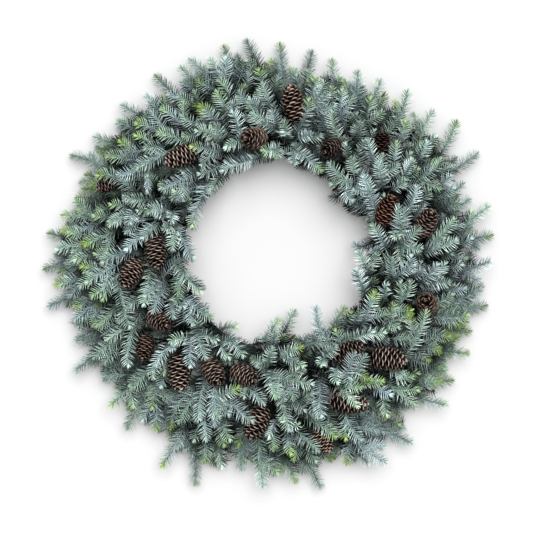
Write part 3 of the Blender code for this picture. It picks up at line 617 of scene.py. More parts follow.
    def lay_out(self) -> list[list[Twig]]:
        """All the wreath's twigs, spray by spray, each with its leader first.

        Returns:
            A list of twigs for each spray.
        """
        rng = np.random.default_rng(self.seed)
        tips = {
            "outer": self.listed_tips(OUTER_TIPS, self.outer_heights),
            "middle": [tip for row in self.middle_rows for tip in self.row_tips(row, rng)],
            "inner": [tip for row in self.inner_rows for tip in self.row_tips(row, rng)],
        }
        tips["inner"] += self.listed_tips(FRINGE_TIPS, self.fringe_heights)
        sprays = [spray for layer, own in tips.items()
                  for spray in self.sprays_of(own, self.spray_counts[layer], layer)]
        roots = self.spread_round([self.spray_root(spray) for spray in sprays])
        grown = [self.grow_spray(spray, root) for spray, root in zip(sprays, roots)]
        self.settle([twig for twigs in grown for twig in twigs])
        return grown


@dataclass(frozen=True)
class Filling:
    """Further twigs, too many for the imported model: on the face, round the hole, in the outline.

    The face twigs' tips fall by a share of their distance from the ring. The edge twigs stand
    at azimuths from one to another by steps, and the collar twigs lie along the ring.
    """

    plan: WreathPlan
    face_height: float = 95.0
    face_fall: float = 0.19
    face_scatter: tuple[float, float] = (-3.0, 1.0)
    face_tilt: tuple[float, float] = (6.0, 20.0)
    collar_twigs: int = 54
    collar_reach: tuple[float, float] = (174.0, 206.0)
    collar_lean: tuple[float, float] = (48.0, 104.0)
    collar_height: tuple[float, float] = (30.0, 52.0)
    collar_tilt: tuple[float, float] = (0.0, 12.0)
    edge_sides: tuple[int, int, int] = (100, 354, 5)
    edge_step: tuple[float, float] = (-14.0, 8.0)
    edge_lean: tuple[float, float] = (4.0, 32.0)
    edge_height: tuple[float, float] = (12.0, 34.0)
    run: float = 78.0
    joints: tuple[float, ...] = (0.06, 0.12, 0.18, 0.24, 0.3, 0.36, 0.42, 0.48, 0.54, 0.6)
    seed: int = 23

    def face_tips(self, rng: np.random.Generator) -> list[Tip]:
        """Tips of the twigs that stand out on the face.

        Args:
            rng: Where the scatter comes from.

        Returns:
            The tips, in the table's order.
        """
        tips = []
        for x, y, heading in FACE_TIPS:
            azimuth, reach = math.degrees(math.atan2(y, x)), math.hypot(x, y)
            height = self.face_height - self.face_fall * max(reach - self.plan.ring_radius, 0.0)
            tips.append(Tip(azimuth, reach, turned(heading - azimuth),
                            height + rng.uniform(*self.face_scatter),
                            rng.uniform(*self.face_tilt)))
        return tips

    def collar_tips(self, rng: np.random.Generator) -> list[Tip]:
        """Tips of the twigs that lie along the ring, each the clearest of the cones.

        Args:
            rng: Where the scatter comes from.

        Returns:
            The tips, in order round the ring.
        """
        tips = []
        for index in range(self.collar_twigs):
            draws = [Tip(
                (index + rng.uniform(0.0, self.plan.place_scatter)) * 360.0 / self.collar_twigs,
                rng.uniform(*self.collar_reach), rng.uniform(*self.collar_lean),
                rng.uniform(*self.collar_height), rng.uniform(*self.collar_tilt))
                for _ in range(self.plan.row_tries)]
            tips.append(max(draws, key=self.plan.berth))
        return tips

    def edge_tips(self, rng: np.random.Generator) -> list[Tip]:
        """Tips that fill the outline between its longest twigs, on its fuller sides.

        Args:
            rng: Where the scatter comes from.

        Returns:
            The tips, in order round the ring.
        """
        return [Tip(
            azimuth, self.plan.dense_span(azimuth)[1] + rng.uniform(*self.edge_step),
            rng.uniform(*self.edge_lean), rng.uniform(*self.edge_height), 0.0)
            for azimuth in range(*self.edge_sides)]

    def joined(self, tip: Tip, leaders: list[Twig]) -> Twig:
        """A twig to a tip, from the nearest place behind it on any of some leaders.

        Args:
            tip: The twig's tip.
            leaders: The leaders that it may grow from.

        Returns:
            The twig.
        """
        behind = polar(tip.azimuth, tip.reach) - self.run * pointing(tip.azimuth + tip.lean)
        places = {
            (index, joint): curve_weights(joint) @ leader.points
            for index, leader in enumerate(leaders) for joint in self.joints}
        index, joint = min(places, key=lambda key: np.linalg.norm((places[key] - behind)[:2]))
        points = np.array(self.plan.curve_to(places[index, joint], tip))
        return Twig(points, leaders[index].spray, leaders[index], joint)

    def add_to(self, grown: list[list[Twig]]) -> None:
        """Add the further twigs to the sprays that they grow from.

        Args:
            grown: The twigs of each spray, which are added to.
        """
        rng = np.random.default_rng(self.seed)
        own = {twigs[0].spray: twigs for twigs in grown}
        for tips, layers in (
                (self.face_tips(rng), ("inner", "middle")), (self.collar_tips(rng), ("inner",)),
                (self.edge_tips(rng), ("outer",))):
            leaders = [twigs[0] for name, twigs in own.items() if name.startswith(layers)]
            for tip in tips:
                twig = self.joined(tip, leaders)
                own[twig.spray].append(twig)


class Path:
    """A way through space, measured by length, with axes across it at every place."""

    def __init__(self, places: np.ndarray) -> None:
        """Measure the way through some places.

        Args:
            places: Places in order along the way.
        """
        self.places = places
        steps = np.linalg.norm(np.diff(places, axis=0), axis=1)
        self.lengths = np.append(0.0, np.cumsum(steps))
        self.total = float(self.lengths[-1])
        ahead = np.gradient(places, self.lengths, axis=0)
        self.ahead = ahead / np.linalg.norm(ahead, axis=1)[:, None]

    def at(self, lengths: np.ndarray, values: np.ndarray) -> np.ndarray:
        """Values kept at the path's places, read between them at some lengths."""
        return np.stack([np.interp(lengths, self.lengths, axis) for axis in values.T], axis=-1)

    def laid(self, local: np.ndarray, start: float, roll: float = 0.0) -> np.ndarray:
        """Points of a straight clump, bent to lie along the path.

        Args:
            local: Points across to the left, across upwards, and along.
            start: The length at which the clump starts.
            roll: How far it is turned about the path, in radians.

        Returns:
            Their places in space. Past either end the path runs on straight.
        """
        along = start + local[:, 2]
        inside = np.clip(along, 0.0, self.total)
        ahead = self.at(inside, self.ahead)
        ahead /= np.linalg.norm(ahead, axis=1)[:, None]
        left = np.cross(UP, ahead)
        left /= np.linalg.norm(left, axis=1)[:, None]
        rising = np.cross(ahead, left)
        across = local[:, :1] * math.cos(roll) - local[:, 1:2] * math.sin(roll)
        upward = local[:, :1] * math.sin(roll) + local[:, 1:2] * math.cos(roll)
        place = self.at(inside, self.places) + (along - inside)[:, None] * ahead
        return place + across * left + upward * rising


class Clump:
    """A mesh in its own straight measure, copied many times into larger ones."""

    def __init__(self, name: str, mesh: bmesh.types.BMesh) -> None:
        """Keep a finished mesh and its points.

        Args:
            name: The mesh's name.
            mesh: The finished mesh; it is freed.
        """
        self.data = bpy.data.meshes.new(name)
        mesh.to_mesh(self.data)
        mesh.free()
        points = np.empty(len(self.data.vertices) * 3, dtype=np.float32)
        self.data.vertices.foreach_get("co", points)
        self.local = points.reshape(-1, 3).astype(float)
        self.values = {}
        for attribute in self.data.attributes:
            if attribute.domain == "POINT" and attribute.data_type == "FLOAT":
                values = np.empty(len(self.local), dtype=np.float32)
                attribute.data.foreach_get("value", values)
                self.values[attribute.name] = values

    def add_to(self, target: bmesh.types.BMesh, places: np.ndarray,
               values: dict[Trait, np.ndarray]) -> None:
        """Add a copy to a mesh.

        Args:
            target: The mesh that takes the copy.
            places: Where the copy's points go.
            values: Traits of those points that differ from the clump's own.
        """
        self.data.vertices.foreach_set("co", places.astype(np.float32).ravel())
        for trait, changed in values.items():
            spread = np.broadcast_to(changed, len(places)).astype(np.float32)
            self.data.attributes[trait.value].data.foreach_set("value", spread)
        target.from_mesh(self.data)


def linear(hex_colour: str) -> tuple[float, float, float, float]:
    """An sRGB hex colour as linear red, green, blue and alpha.

    Args:
        hex_colour: A hash sign and six hex digits.

    Returns:
        Four shares from 0 to 1.
    """
    shares = [int(hex_colour[place:place + 2], 16) / 255 for place in (1, 3, 5)]
    red, green, blue = (
        share / 12.92 if share <= 0.04045 else ((share + 0.055) / 1.055) ** 2.4
        for share in shares
    )
    return red, green, blue, 1.0


def add_node(tree: bpy.types.NodeTree, kind: str, inputs: dict[Any, Any] | None = None,
             **settings: Any) -> bpy.types.Node:
    """Add a node with its settings and links.

    Args:
        tree: The material's or world's node tree.
        kind: The node's type, without the word ShaderNode in front.
        inputs: Values or other nodes' outputs for its sockets, by name or number.
        **settings: The node's own settings.

    Returns:
        The node.
    """
    node = tree.nodes.new(f"ShaderNode{kind}")
    for name, value in settings.items():
        setattr(node, name, value)
    for name, value in (inputs or {}).items():
        if isinstance(value, bpy.types.NodeSocket):
            tree.links.new(value, node.inputs[name])
        else:
            node.inputs[name].default_value = value
    return node


def set_stops(ramp: bpy.types.Node, stops: Iterable[tuple[float, str]]) -> bpy.types.NodeSocket:
    """Give a colour ramp its stops.

    Args:
        ramp: The ramp.
        stops: A place from 0 to 1 and an sRGB hex colour each.

    Returns:
        The ramp's colour.
    """
    elements = ramp.color_ramp.elements
    stops = list(stops)
    while len(elements) < len(stops):
        elements.new(0.5)
    for element, (place, colour) in zip(elements, stops):
        element.position = place
        element.color = linear(colour)
    return ramp.outputs["Color"]


def new_material(name: str) -> tuple[bpy.types.Material, bpy.types.NodeTree, bpy.types.Node]:
    """A new material, with its nodes and its shader.

    Args:
        name: Its name.

    Returns:
        The material, its nodes and its shader.
    """
    material = bpy.data.materials.new(name)
    material.use_nodes = True
    return material, material.node_tree, material.node_tree.nodes["Principled BSDF"]


def set_surface(tree: bpy.types.NodeTree, shader: bpy.types.Node, colour: bpy.types.NodeSocket,
                grain: bpy.types.NodeSocket, relief: tuple[float, float],
                gloss: tuple[float, float]) -> None:
    """Give a shader its colour, its relief and its gloss.

    Args:
        tree: The material's nodes.
        shader: The shader.
        colour: The surface's colour.
        grain: The height of its relief.
        relief: The relief's strength, and its depth in millimetres.
        gloss: The roughness and the specular level.
    """
    bump = add_node(tree, "Bump", {
        "Height": grain, "Strength": relief[0], "Distance": relief[1] * MM})
    tree.links.new(colour, shader.inputs["Base Color"])
    tree.links.new(bump.outputs["Normal"], shader.inputs["Normal"])
    for socket, value in zip(("Roughness", "Specular IOR Level"), gloss):
        shader.inputs[socket].default_value = value


@dataclass(frozen=True)
class FrostedNeedles:
    """Moulded polyethylene needles, with a pale matt frosting put on from the wreath's face.

    The moulding gives a soft satin green. The frosting lies on the upper sides and the outer
    ends, which run to a chalky blue-grey broken by fine grain; at the stem each needle is near
    black-green, a painted shade deep in the twig. Needles that others cover are painted nearly
    black-green from above, a painted shade, and undersides keep the plain green. Each needle is
    lighter or darker than the next, and so are broad patches.
    """

    name: str = "frosted moulded needles"
    # The near-black inner colour at each needle's foot is painted shade deep in the twig.
    inner: str = "#10201B"
    body: str = "#88AAA1"
    outer: str = "#CFE0DC"
    frost: str = "#F0F6F6"
    bluer: str = "#A2B6CC"
    greener: str = "#86AE82"
    soft_growth: str = "#9FBE8E"
    young: str = "#A3BA56"
    frost_grain_mm: float = 1.6
    patch_mm: float = 45.0
    tint_share: float = 0.45
    most_frost: float = 0.7
    most_fresh: float = 0.8
    values: tuple[float, float] = (0.5, 2.15)
    # Painted shade: needles under other twigs are painted nearly black.
    painted_shade: str = "#020504"
    painted_shade_end: str = "#0C1613"
    underside: str = "#3C5546"
    relief: tuple[float, float] = (0.4, 0.3)
    gloss: tuple[float, float] = (0.62, 0.15)

    def build(self) -> bpy.types.Material:
        """Make the material.

        Returns:
            The material.
        """
        material, tree, shader = new_material(self.name)
        traits = {
            trait: add_node(tree, "Attribute", attribute_name=trait.value).outputs["Fac"]
            for trait in FOLIAGE_TRAITS
        }
        place = add_node(tree, "TexCoord").outputs["Object"]
        grain = add_node(tree, "TexNoise", {
            "Vector": place, "Scale": 1 / (self.frost_grain_mm * MM), "Detail": 3.0})
        patches = add_node(tree, "TexNoise", {
            "Vector": place, "Scale": 1 / (self.patch_mm * MM), "Detail": 2.0})
        upward = add_node(tree, "SeparateXYZ", {
            "Vector": add_node(tree, "NewGeometry").outputs["Normal"]}).outputs["Z"]
        along, fresh = traits[Trait.ALONG], traits[Trait.FRESH]
        green, shadowed, tint, growth = (
            set_stops(add_node(tree, "ValToRGB", {"Fac": share}), stops)
            for share, stops in (
                (along, [(0.05, self.inner), (0.4, self.body), (0.9, self.outer)]),
                (along, [(0.0, self.painted_shade), (1.0, self.painted_shade_end)]),
                (traits[Trait.TINT], [(0.0, self.greener), (0.5, self.body), (1.0, self.bluer)]),
                (fresh, [(0.2, self.soft_growth), (0.85, self.young)])))
        # The frosting grows from steep sides to level ones and is broken by the grain. Young
        # growth and undersides each take over by a share of their own.
        lit, speckle, fresh_share, behind = (
            add_node(tree, "MapRange", {
                "Value": share, "From Min": low, "From Max": high, "To Min": least,
                "To Max": most}).outputs["Result"]
            for share, low, high, least, most in (
                (upward, 0.1, 0.9, 0.0, self.most_frost),
                (grain.outputs["Fac"], 0.35, 0.7, 0.35, 1.25),
                (fresh, 0.0, 1.0, 0.0, self.most_fresh),
                (upward, -0.1, -0.6, 0.0, 1.0)))
        frosting = add_node(tree, "Math", {0: lit, 1: speckle}, operation="MULTIPLY")
        colour = green
        for share, over in (
                (self.tint_share, tint), (frosting.outputs[0], linear(self.frost)),
                (fresh_share, growth)):
            colour = add_node(tree, "Mix", {0: share, 6: colour, 7: over},
                              data_type="RGBA", clamp_factor=True).outputs[2]
        # Painted shade: where other twigs lie over a needle it is painted nearly black; undersides
        # keep the plain green.
        for share, under, over in (
                (traits[Trait.UNSHADED], shadowed, None), (behind, None, linear(self.underside))):
            colour = add_node(tree, "Mix", {
                0: share, 6: under or colour, 7: over or colour},
                data_type="RGBA", clamp_factor=True).outputs[2]
        patchy = add_node(tree, "Math", {
            0: traits[Trait.SHADE], 1: patches.outputs["Fac"]}, operation="ADD")
        value = add_node(tree, "MapRange", {
            "Value": patchy.outputs[0], "From Min": 0.2, "From Max": 1.7,
            "To Min": self.values[0], "To Max": self.values[1]})
        shaded = add_node(tree, "HueSaturation", {
            "Value": value.outputs["Result"], "Color": colour})
        set_surface(tree, shader, shaded.outputs["Color"], grain.outputs["Fac"], self.relief,
                    self.gloss)
        return material


@dataclass(frozen=True)
class TwigStem:
    """Stems bound in brown-green floral tape, moulded and frosted like the needles near the tip.

    The tape gives a dull, faintly ribbed brown; the moulded ends show as a pale line. Stems under
    other twigs are painted nearly black, a painted shade.
    """

    name: str = "taped and moulded stems"
    tape: str = "#2E2F24"
    thin: str = "#4A5A4C"
    moulded: str = "#8FA8A2"
    # Painted shade for stems under other twigs.
    painted_shade: str = "#14180F"
    tape_pitch_mm: float = 3.0
    values: tuple[float, float] = (0.7, 1.3)
    relief: tuple[float, float] = (0.5, 0.5)
    gloss: tuple[float, float] = (0.75, 0.1)

    def build(self) -> bpy.types.Material:
        """Make the material.

        Returns:
            The material.
        """
        material, tree, shader = new_material(self.name)
        along, unshaded = (
            add_node(tree, "Attribute", attribute_name=trait.value).outputs["Fac"]
            for trait in (Trait.ALONG, Trait.UNSHADED))
        place = add_node(tree, "TexCoord").outputs["Object"]
        ribs = add_node(tree, "TexNoise", {
            "Vector": place, "Scale": 1 / (self.tape_pitch_mm * MM), "Detail": 2.0})
        colour = set_stops(
            add_node(tree, "ValToRGB", {"Fac": along}),
            [(0.0, self.tape), (0.25, self.thin), (0.6, self.moulded)])
        # Painted shade: stems under other twigs are painted nearly black.
        with_painted_shade = add_node(tree, "Mix", {
            0: unshaded, 6: linear(self.painted_shade), 7: colour}, data_type="RGBA")
        value = add_node(tree, "MapRange", {
            "Value": ribs.outputs["Fac"], "To Min": self.values[0], "To Max": self.values[1]})
        shaded = add_node(tree, "HueSaturation", {
            "Value": value.outputs["Result"], "Color": with_painted_shade.outputs[2]})
        set_surface(tree, shader, shaded.outputs["Color"], ribs.outputs["Fac"], self.relief,
                    self.gloss)
        return material


@dataclass(frozen=True)
class DryConeScales:
    """Dry woody cone scales: dull wood that darkens to near black inside, partly the wood's own
    darker base and partly painted shade between the scales, and a worn, paler rim.
    """

    name: str = "dry woody cone scales"
    # Near black at the scales' feet: partly the wood's own dark base, partly painted shade.
    heart: str = "#0D0806"
    wood: str = "#5E534C"
    rim: str = "#CDC6C0"
    red_wood: str = "#644438"
    red_rim: str = "#C4A698"
    grain_mm: float = 1.2
    wear: float = 0.15
    values: tuple[float, float] = (0.25, 1.3)
    relief: tuple[float, float] = (0.6, 0.5)
    gloss: tuple[float, float] = (0.65, 0.15)

    def build(self) -> bpy.types.Material:
        """Make the material.

        Returns:
            The material.
        """
        material, tree, shader = new_material(self.name)
        rim, shade, tint = (
            add_node(tree, "Attribute", attribute_name=trait.value).outputs["Fac"]
            for trait in CONE_TRAITS)
        place = add_node(tree, "TexCoord").outputs["Object"]
        grain = add_node(tree, "TexNoise", {
            "Vector": place, "Scale": 1 / (self.grain_mm * MM), "Detail": 4.0})
        worn = add_node(tree, "MapRange", {
            "Value": grain.outputs["Fac"], "From Min": 0.3, "From Max": 0.7,
            "To Min": -self.wear, "To Max": self.wear})
        edge = add_node(tree, "Math", {
            0: rim, 1: worn.outputs["Result"]}, operation="ADD")
        brown, red = (
            set_stops(add_node(tree, "ValToRGB", {"Fac": edge.outputs[0]}),
                      [(0.1, self.heart), (0.5, wood), (0.85, pale)])
            for wood, pale in ((self.wood, self.rim), (self.red_wood, self.red_rim)))
        wood = add_node(tree, "Mix", {0: tint, 6: brown, 7: red}, data_type="RGBA")
        # Shade below 0 is painted shade on cones sunk in the foliage.
        value = add_node(tree, "MapRange", {
            "Value": shade, "From Min": -1.0, "To Min": self.values[0],
            "To Max": self.values[1]})
        shaded = add_node(tree, "HueSaturation", {
            "Value": value.outputs["Result"], "Color": wood.outputs[2]})
        set_surface(tree, shader, shaded.outputs["Color"], grain.outputs["Fac"], self.relief,
                    self.gloss)
        return material


@dataclass(frozen=True)
class CoatedWire:
    """Steel wire in a dark green plastic coating: smooth and satin, with faint scuffs."""

    name: str = "green coated wire"
    coat: str = "#1E3A28"
    scuffed: str = "#3B5442"
    scuff_mm: float = 5.0
    roughness: tuple[float, float] = (0.3, 0.55)

    def build(self) -> bpy.types.Material:
        """Make the material.

        Returns:
            The material.
        """
        material, tree, shader = new_material(self.name)
        place = add_node(tree, "TexCoord").outputs["Object"]
        scuffs = add_node(tree, "TexNoise", {
            "Vector": place, "Scale": 1 / (self.scuff_mm * MM), "Detail": 5.0})
        colour = set_stops(
            add_node(tree, "ValToRGB", {"Fac": scuffs.outputs["Fac"]}),
            [(0.45, self.coat), (0.75, self.scuffed)])
        tree.links.new(colour, shader.inputs["Base Color"])
        gloss = add_node(tree, "MapRange", {
            "Value": scuffs.outputs["Fac"], "To Min": self.roughness[0],
            "To Max": self.roughness[1]})
        tree.links.new(gloss.outputs["Result"], shader.inputs["Roughness"])
        return material


@dataclass(frozen=True)
class StudioFloor:
    """A white acrylic light table: matt, faintly uneven, with a slight glow from within."""

    name: str = "white acrylic light table"
    paint: str = "#DFDFDF"
    dull: str = "#DCDCDC"
    patches_per_metre: float = 3.0
    glow: float = 0.08
    roughness: float = 0.9

    def build(self) -> bpy.types.Material:
        """Make the material.

        Returns:
            The material.
        """
        material, tree, shader = new_material(self.name)
        place = add_node(tree, "TexCoord").outputs["Object"]
        patches = add_node(tree, "TexNoise", {
            "Vector": place, "Scale": self.patches_per_metre})
        colour = set_stops(
            add_node(tree, "ValToRGB", {"Fac": patches.outputs["Fac"]}),
            [(0.3, self.dull), (0.7, self.paint)])
        tree.links.new(colour, shader.inputs["Base Color"])
        tree.links.new(colour, shader.inputs["Emission Color"])
        shader.inputs["Emission Strength"].default_value = self.glow
        shader.inputs["Roughness"].default_value = self.roughness
        return material


def floats_of(mesh: bmesh.types.BMesh, traits: Iterable[Trait]) -> dict[Trait, Any]:
    """Number layers for traits on a mesh's points, made if they aren't there."""
    layers = mesh.verts.layers.float
    return {trait: layers.get(trait.value) or layers.new(trait.value) for trait in traits}


@dataclass(frozen=True)
class NeedleRow:
    """A row of needles along a twig.

    Its angle is measured round the stem from the left, its lean from the stem's direction, and
    its offset is a share of the pitch. Its unshaded share sets its painted shade: rows below the
    stem are painted darker. Plain needles taper straight from a broad foot, for rows that hardly
    show.
    """

    angle: float
    lean: float
    length: float
    offset: float
    unshaded: float = 1.0
    plain: bool = False
    scatter: float = 9.0


@dataclass(frozen=True)
class NeedleMaker:
    """Makes stretches of a twig's needles in straight measure.

    Sizes are about real, but the needles are drawn a little broader than real ones, so that
    they show at the photo's size. Spans of numbers are the least and the most of what is drawn
    anew for each needle. Towards a twig's end the needles close in to a bud.
    """

    pitch: float = 4.2
    pitches: int = 6
    width: float = 1.35
    thickness: float = 1.0
    plain_width: float = 1.7
    widest: float = 0.62
    bend: float = 9.0
    stem_radius: float = 0.8
    sunk: float = 0.4
    foot_swell: float = 0.9
    lean_scatter: float = 5.0
    place_scatter: float = 0.1
    length_scatter: tuple[float, float] = (0.9, 1.06)
    # Rows below the stem have a low unshaded share, a painted shade.
    rows: tuple[NeedleRow, ...] = (
        NeedleRow(10, 60, 17.5, 0.0), NeedleRow(170, 60, 17.5, 0.5),
        NeedleRow(-36, 54, 16.0, 0.5, 0.3, True), NeedleRow(216, 54, 16.0, 0.0, 0.3, True),
        NeedleRow(52, 44, 13.5, 0.25, 1.0, True, 15.0),
        NeedleRow(128, 44, 13.5, 0.75, 1.0, True, 15.0),
    )
    # Sparse rows are painted darker too, most of all those below the stem.
    sparse_rows: tuple[NeedleRow, ...] = (
        NeedleRow(12, 60, 16.5, 0.0, 0.7, True), NeedleRow(168, 60, 16.5, 0.5, 0.7, True),
        NeedleRow(75, 50, 13.0, 0.3, 0.7, True), NeedleRow(-30, 60, 16.0, 0.5, 0.2, True),
        NeedleRow(210, 60, 16.0, 0.0, 0.2, True),
    )
    tip_length: float = 42.0
    tip_needle: float = 10.5
    tip_lean: float = 34.0
    tip_scatter: tuple[float, float] = (0.9, 1.05)
    tip_crowding: float = 0.2
    closing_power: int = 4
    bud_needles: int = 5
    bud_sunk: float = 0.8
    bud_leans: tuple[float, float] = (4.0, 26.0)
    bud_scatter: tuple[float, float] = (0.8, 1.02)

    @property
    def run(self) -> float:
        """The length of a stretch."""
        return self.pitch * self.pitches

    def add_needle(self, mesh: bmesh.types.BMesh, row: NeedleRow, along: float, lean: float,
                   length: float, rng: np.random.Generator) -> None:
        """Add one needle: a flattened three-sided spike, closed at its foot.

        Args:
            mesh: The mesh that takes it.
            row: The row that it stands in.
            along: Where it leaves the stem.
            lean: Its angle from the stem's direction, in degrees.
            length: Its length.
            rng: Where the scatter comes from.
        """
        angle = row.angle + rng.normal(0.0, row.scatter)
        lean += rng.normal(0.0, self.lean_scatter)
        shade = rng.uniform(0.0, 1.0)
        layers = floats_of(mesh, FOLIAGE_TRAITS)
        spike = bmesh.ops.create_cone(
            mesh, cap_ends=True, segments=3, radius1=0.5, radius2=0.0, depth=1.0)["verts"]
        own = set(spike)
        middle = set()
        width = self.plain_width if row.plain else self.width
        # A plain needle is widest at its foot, any other most of the way out.
        if not row.plain:
            edges = list({edge for vert in spike for edge in vert.link_edges})
            faces = list({face for vert in spike for face in vert.link_faces})
            cut = bmesh.ops.bisect_plane(
                mesh, geom=spike + edges + faces, plane_co=(0.0, 0.0, self.widest - 0.5),
                plane_no=(0.0, 0.0, 1.0))["geom_cut"]
            middle = {item for item in cut if isinstance(item, bmesh.types.BMVert)}
        outward = Vector((math.cos(math.radians(angle)), math.sin(math.radians(angle)), 0.0))
        way = outward * math.sin(math.radians(lean)) + Vector(
            (0.0, 0.0, math.cos(math.radians(lean))))
        flat = Vector((0.0, 1.0, 0.0))
        flat = (flat - way * flat.dot(way)).normalized()
        across = flat.cross(way)
        frame_of = Matrix((across, flat, way)).transposed()
        root = Vector((0.0, 0.0, along)) + outward * self.stem_radius * self.sunk
        bow = math.sin(math.radians(self.bend)) * length / 3
        for vert in own | middle:
            share = vert.co.z + 0.5
            swell = 1.0 / (1.0 - self.widest) if vert in middle else self.foot_swell
            vert[layers[Trait.ALONG]] = share
            vert[layers[Trait.SHADE]] = shade
            vert[layers[Trait.UNSHADED]] = row.unshaded
            local = Vector((vert.co.x * swell * width, vert.co.y * swell * self.thickness,
                            share * length))
            curve = bow * 4.0 * share * (1.0 - share)  # The bow is deepest half way out.
            vert.co = root + frame_of @ local + (outward - way * outward.dot(way)) * curve

    def stretch(self, name: str, rows: Iterable[NeedleRow], rng: np.random.Generator) -> Clump:
        """A stretch of needles in rows.

        Args:
            name: The clump's name.
            rows: The rows of needles.
            rng: Where the scatter comes from.

        Returns:
            The stretch, which starts at 0 and is a run long.
        """
        mesh = bmesh.new()
        for row in rows:
            for place in range(self.pitches):
                scatter = rng.uniform(-self.place_scatter, self.place_scatter)
                along = (place + row.offset + scatter) * self.pitch
                length = row.length * rng.uniform(*self.length_scatter)
                self.add_needle(mesh, row, along, row.lean, length, rng)
        return Clump(name, mesh)

    def tip(self, name: str, rng: np.random.Generator) -> Clump:
        """The end of a twig, whose needles close in to a point.

        Args:
            name: The clump's name.
            rng: Where the scatter comes from.

        Returns:
            The clump, which starts at 0 and ends at the tip's length.
        """
        mesh = bmesh.new()
        stem = self.tip_length - self.tip_needle
        for row in self.rows:
            along = row.offset * self.pitch
            while along < stem:
                share = along / stem
                closing = share**self.closing_power
                lean = row.lean + (self.tip_lean - row.lean) * closing
                length = row.length + (self.tip_needle - row.length) * closing
                length *= rng.uniform(*self.tip_scatter)
                self.add_needle(mesh, row, along, lean, length, rng)
                along += self.pitch * (1.0 - self.tip_crowding * share)
        for place in range(self.bud_needles):
            row = NeedleRow(360.0 * place / self.bud_needles, 0.0, self.tip_needle, 0.0)
            self.add_needle(mesh, row, stem - self.bud_sunk, rng.uniform(*self.bud_leans),
                            row.length * rng.uniform(*self.bud_scatter), rng)
        return Clump(name, mesh)


@dataclass(frozen=True)
class StemMaker:
    """Makes twigs' stems: tapering rods, whose last stretch is moulded like the needles."""

    root_radius: float = 1.9
    side_radius: float = 1.5
    tip_radius: float = 0.8
    moulded_length: float = 110.0

    def rod(self, name: str, sides: int, rings: int, traits: Iterable[Trait]) -> Clump:
        """A rod one long and one in radius, with some traits.

        Args:
            name: The clump's name.
            sides: How many sides it has.
            rings: How many rings it is cut into.
            traits: The traits that its points carry.

        Returns:
            The rod, which starts at 0 and whose faces take the second material.
        """
        mesh = bmesh.new()
        bmesh.ops.create_cone(mesh, cap_ends=True, segments=sides, radius1=1.0,
                              radius2=1.0, depth=1.0)
        bmesh.ops.translate(mesh, verts=mesh.verts, vec=(0.0, 0.0, 0.5))
        for ring in range(1, rings):
            bmesh.ops.bisect_plane(
                mesh, geom=mesh.verts[:] + mesh.edges[:] + mesh.faces[:],
                plane_co=(0.0, 0.0, ring / rings), plane_no=(0.0, 0.0, 1.0))
        floats_of(mesh, traits)
        for face in mesh.faces:
            face.material_index = 1
            face.smooth = True
        return Clump(name, mesh)

    def lay(self, rod: Clump, target: bmesh.types.BMesh, growth: "Growth", end: float) -> None:
        """Lay a stem along a growth.

        Args:
            rod: The straight rod.
            target: The mesh that takes the stem.
            growth: The twig or shoot.
            end: The length at which the stem ends.
        """
        share = rod.local[:, 2]
        local = rod.local.copy()
        local[:, :2] *= (growth.radius + (self.tip_radius - growth.radius) * share)[:, None]
        local[:, 2] *= end
        from_tip = end - local[:, 2]
        # The stem takes its growth's painted shade.
        rod.add_to(target, growth.path.laid(local, 0.0), {
            Trait.ALONG: np.clip(1.0 - from_tip / self.moulded_length, 0.0, 1.0),
            Trait.UNSHADED: np.interp(local[:, 2], growth.lengths, growth.unshaded)})


@dataclass(frozen=True)
class ShootHabit:
    """How side shoots stand on the twigs of one layer.

    First and spacing are measured back from the twig's tip, and lift is how far a shoot may
    fall or rise over its length.
    """

    first: float
    spacing: float
    length: float
    lift: tuple[float, float]


class Rank(Enum):
    """A growth's place in the wreath, which settles how fully it is dressed."""

    TWIG = "twig"
    SHOOT = "shoot"
    UNDERGROWTH = "undergrowth"


@dataclass
class Growth:
    """A twig or shoot as it will be dressed: its path, its looks, and how open it lies.

    How open it lies sets its painted shade.
    """

    STEP: ClassVar[float] = 11.0
    path: Path
    spray: str
    rank: Rank
    radius: float
    tint: float
    fresh: float
    size: float
    lengths: np.ndarray = field(init=False)
    places: np.ndarray = field(init=False)
    unshaded: np.ndarray = field(init=False)

    def __post_init__(self) -> None:
        """Take samples along the path, about a step apart."""
        count = max(3, round(self.path.total / self.STEP))
        self.lengths = np.linspace(0.0, self.path.total, count)
        self.places = self.path.at(self.lengths, self.path.places)
        self.unshaded = np.ones(count)


